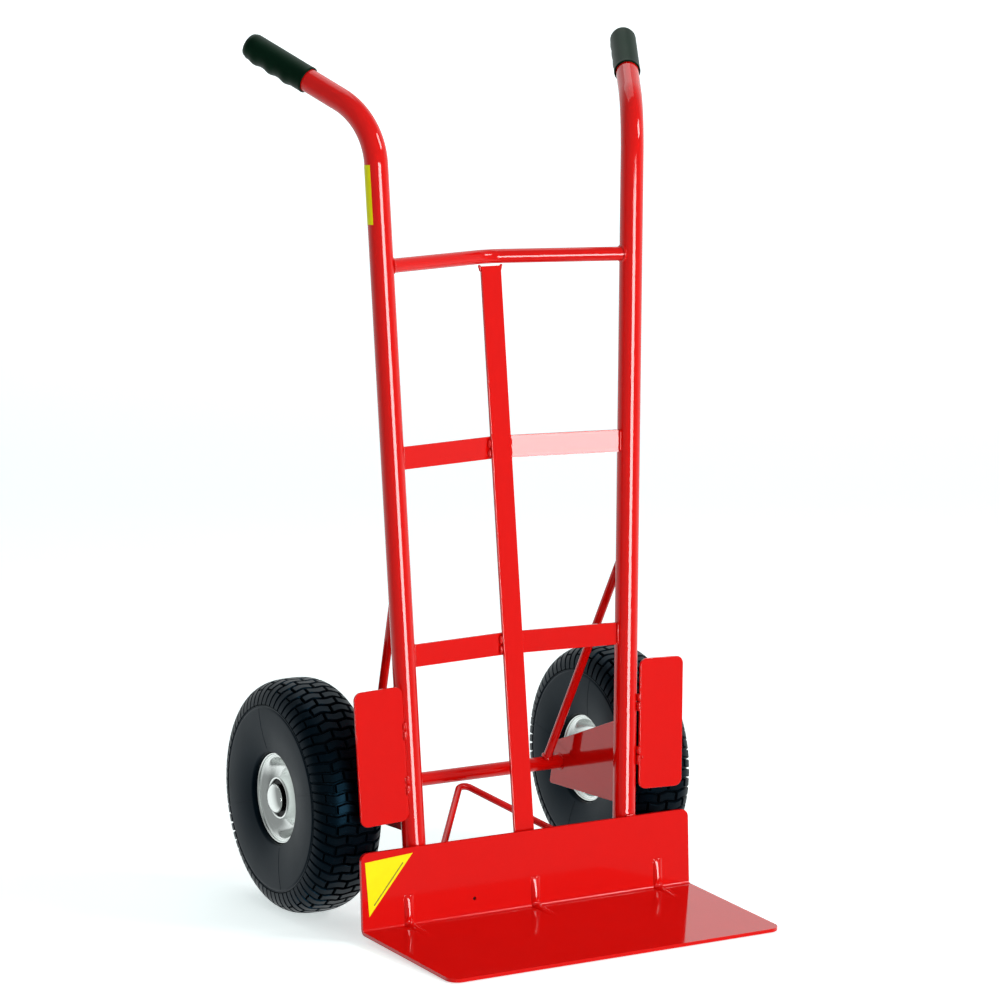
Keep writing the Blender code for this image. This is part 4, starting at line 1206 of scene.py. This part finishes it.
bm = bmesh.new()
rows = []
for k in range(15):
    up = 0.776 + (0.840 - 0.776) * k / 14
    centre = on_frame(-upright_x(up), up, TUBE_BACK)
    row = []
    for level in (STICKER_LIFT, -0.0001):
        for degrees in range(0, 57, 8):
            a = math.radians(182 + degrees - 28)
            row.append(bm.verts.new(centre + Vector((math.cos(a), 0, 0)) * (TUBE_RADIUS + level)
                                    + BACKWARDS * math.sin(a) * (TUBE_RADIUS + level)))
    half = len(row) // 2
    rows.append(row[:half] + row[half:][::-1])
for row_a, row_b in zip(rows, rows[1:]):
    bridge(bm, row_a, row_b)
bm.faces.new(rows[0][::-1])
bm.faces.new(rows[-1])
belongs(finish_mesh("upright_sticker", bm, yellow_vinyl), "frame", "red_paint")

# %% [markdown]
# ## Studio
#
# A catalogue studio is a white sweep with big soft lights. The floor curves up behind the
# truck so that no horizon shows, and only its matt white is wanted, so glossy surfaces do
# not mirror it. A large soft light straight ahead draws the bright line down each tube and
# shows in one half of the bent flat bar. A higher one at the right fills the faces, and a
# weaker one lights the floor. The room is bright behind the truck and dim in front of it.

# %% Floor, lights and camera
white_paper, tree, shader = start_material("white_studio_paper", {
    "Base Color": linear("#F4FAFA"), "Roughness": 0.95, "Specular IOR Level": 0.0,
    "Emission Color": linear("#F6FFFF")})
seen = add_node(tree, "ShaderNodeLightPath")
where = add_node(tree, "ShaderNodeNewGeometry")
height = add_node(tree, "ShaderNodeSeparateXYZ", links={"Vector": where.outputs["Position"]})
rising = add_node(tree, "ShaderNodeMapRange", values={"From Max": 1.2, "To Min": 0.60,
                  "To Max": 1.0}, links={"Value": height.outputs["Z"]})
own_glow = add_node(tree, "ShaderNodeMath", {"operation": "MULTIPLY"}, links={
    0: seen.outputs["Is Camera Ray"], 1: rising.outputs["Result"]})
tree.links.new(own_glow.outputs["Value"], shader.inputs["Emission Strength"])
scene = bpy.context.scene
bm = bmesh.new()
sweep_profile = [(-5.0, 0.0), (3.0, 0.0)]
for degrees in range(10, 91, 10):
    a = math.radians(degrees)
    sweep_profile.append((3.0 + 2.5 * math.sin(a), 2.5 - 2.5 * math.cos(a)))
sweep_profile.append((5.5, 8.0))
floor_z = -0.0010
left_edge = [bm.verts.new((-14, y, z + floor_z)) for y, z in sweep_profile]
right_edge = [bm.verts.new((14, y, z + floor_z)) for y, z in sweep_profile]
bridge(bm, left_edge, right_edge, close=False)
floor = finish_mesh("studio_sweep", bm, white_paper, 60, outward=False)
floor.rotation_euler.z = math.radians(-30)
floor.visible_glossy = False

world = bpy.data.worlds.new("studio")
scene.world = world
world.use_nodes = True
tree = world.node_tree
background = tree.nodes["Background"]
around = add_node(tree, "ShaderNodeTexCoord")
bright_way = add_node(tree, "ShaderNodeVectorMath", {"operation": "DOT_PRODUCT"},
                      {1: Vector((0.45, 0.89, -0.45))}, {0: around.outputs["Generated"]})
behind = add_node(tree, "ShaderNodeMapRange", values={"From Min": -0.25, "From Max": 0.55,
                  "To Min": 0.27, "To Max": 1.0}, links={"Value": bright_way.outputs["Value"]})
tree.links.new(behind.outputs["Result"], background.inputs["Strength"])
background.inputs["Color"].default_value = linear("#FAFFFF")


def soft_light(name, place, target, size_x, size_y, power):
    data = bpy.data.lights.new(name, "AREA")
    data.shape = "RECTANGLE"
    data.size, data.size_y = size_x, size_y
    data.energy = power
    light = bpy.data.objects.new(name, data)
    light.location = place
    light.rotation_euler = (Vector(target) - Vector(place)).to_track_quat("-Z", "Y").to_euler()
    scene.collection.objects.link(light)


soft_light("front_softbox", (0.1, -4.2, 0.15), (0.1, 0, 0.15), 1.9, 1.7, 150)
soft_light("right_softbox", (2.6, -2.6, 2.6), (0, 0, 0.4), 1.2, 1.2, 55)
soft_light("top_softbox", (0.3, 1.2, 3.6), (0, 0, 0.3), 2.5, 2.5, 22)

CAMERA_PLACE = Vector((-2.1132, heel_y - 3.5559, 1.1157))
CAMERA_AZIMUTH = math.radians(-30.256)
CAMERA_DOWN = math.radians(8.88)
camera_data = bpy.data.cameras.new("camera")
camera_data.lens = 137.66
camera_data.sensor_width = 36.0
camera_data.clip_end = 100.0
camera = bpy.data.objects.new("camera", camera_data)
camera.location = CAMERA_PLACE
camera.rotation_euler = (math.pi / 2 - CAMERA_DOWN, 0, CAMERA_AZIMUTH)
scene.collection.objects.link(camera)
scene.camera = camera
scene.view_settings.view_transform = "Standard"
scene.view_settings.look = "None"
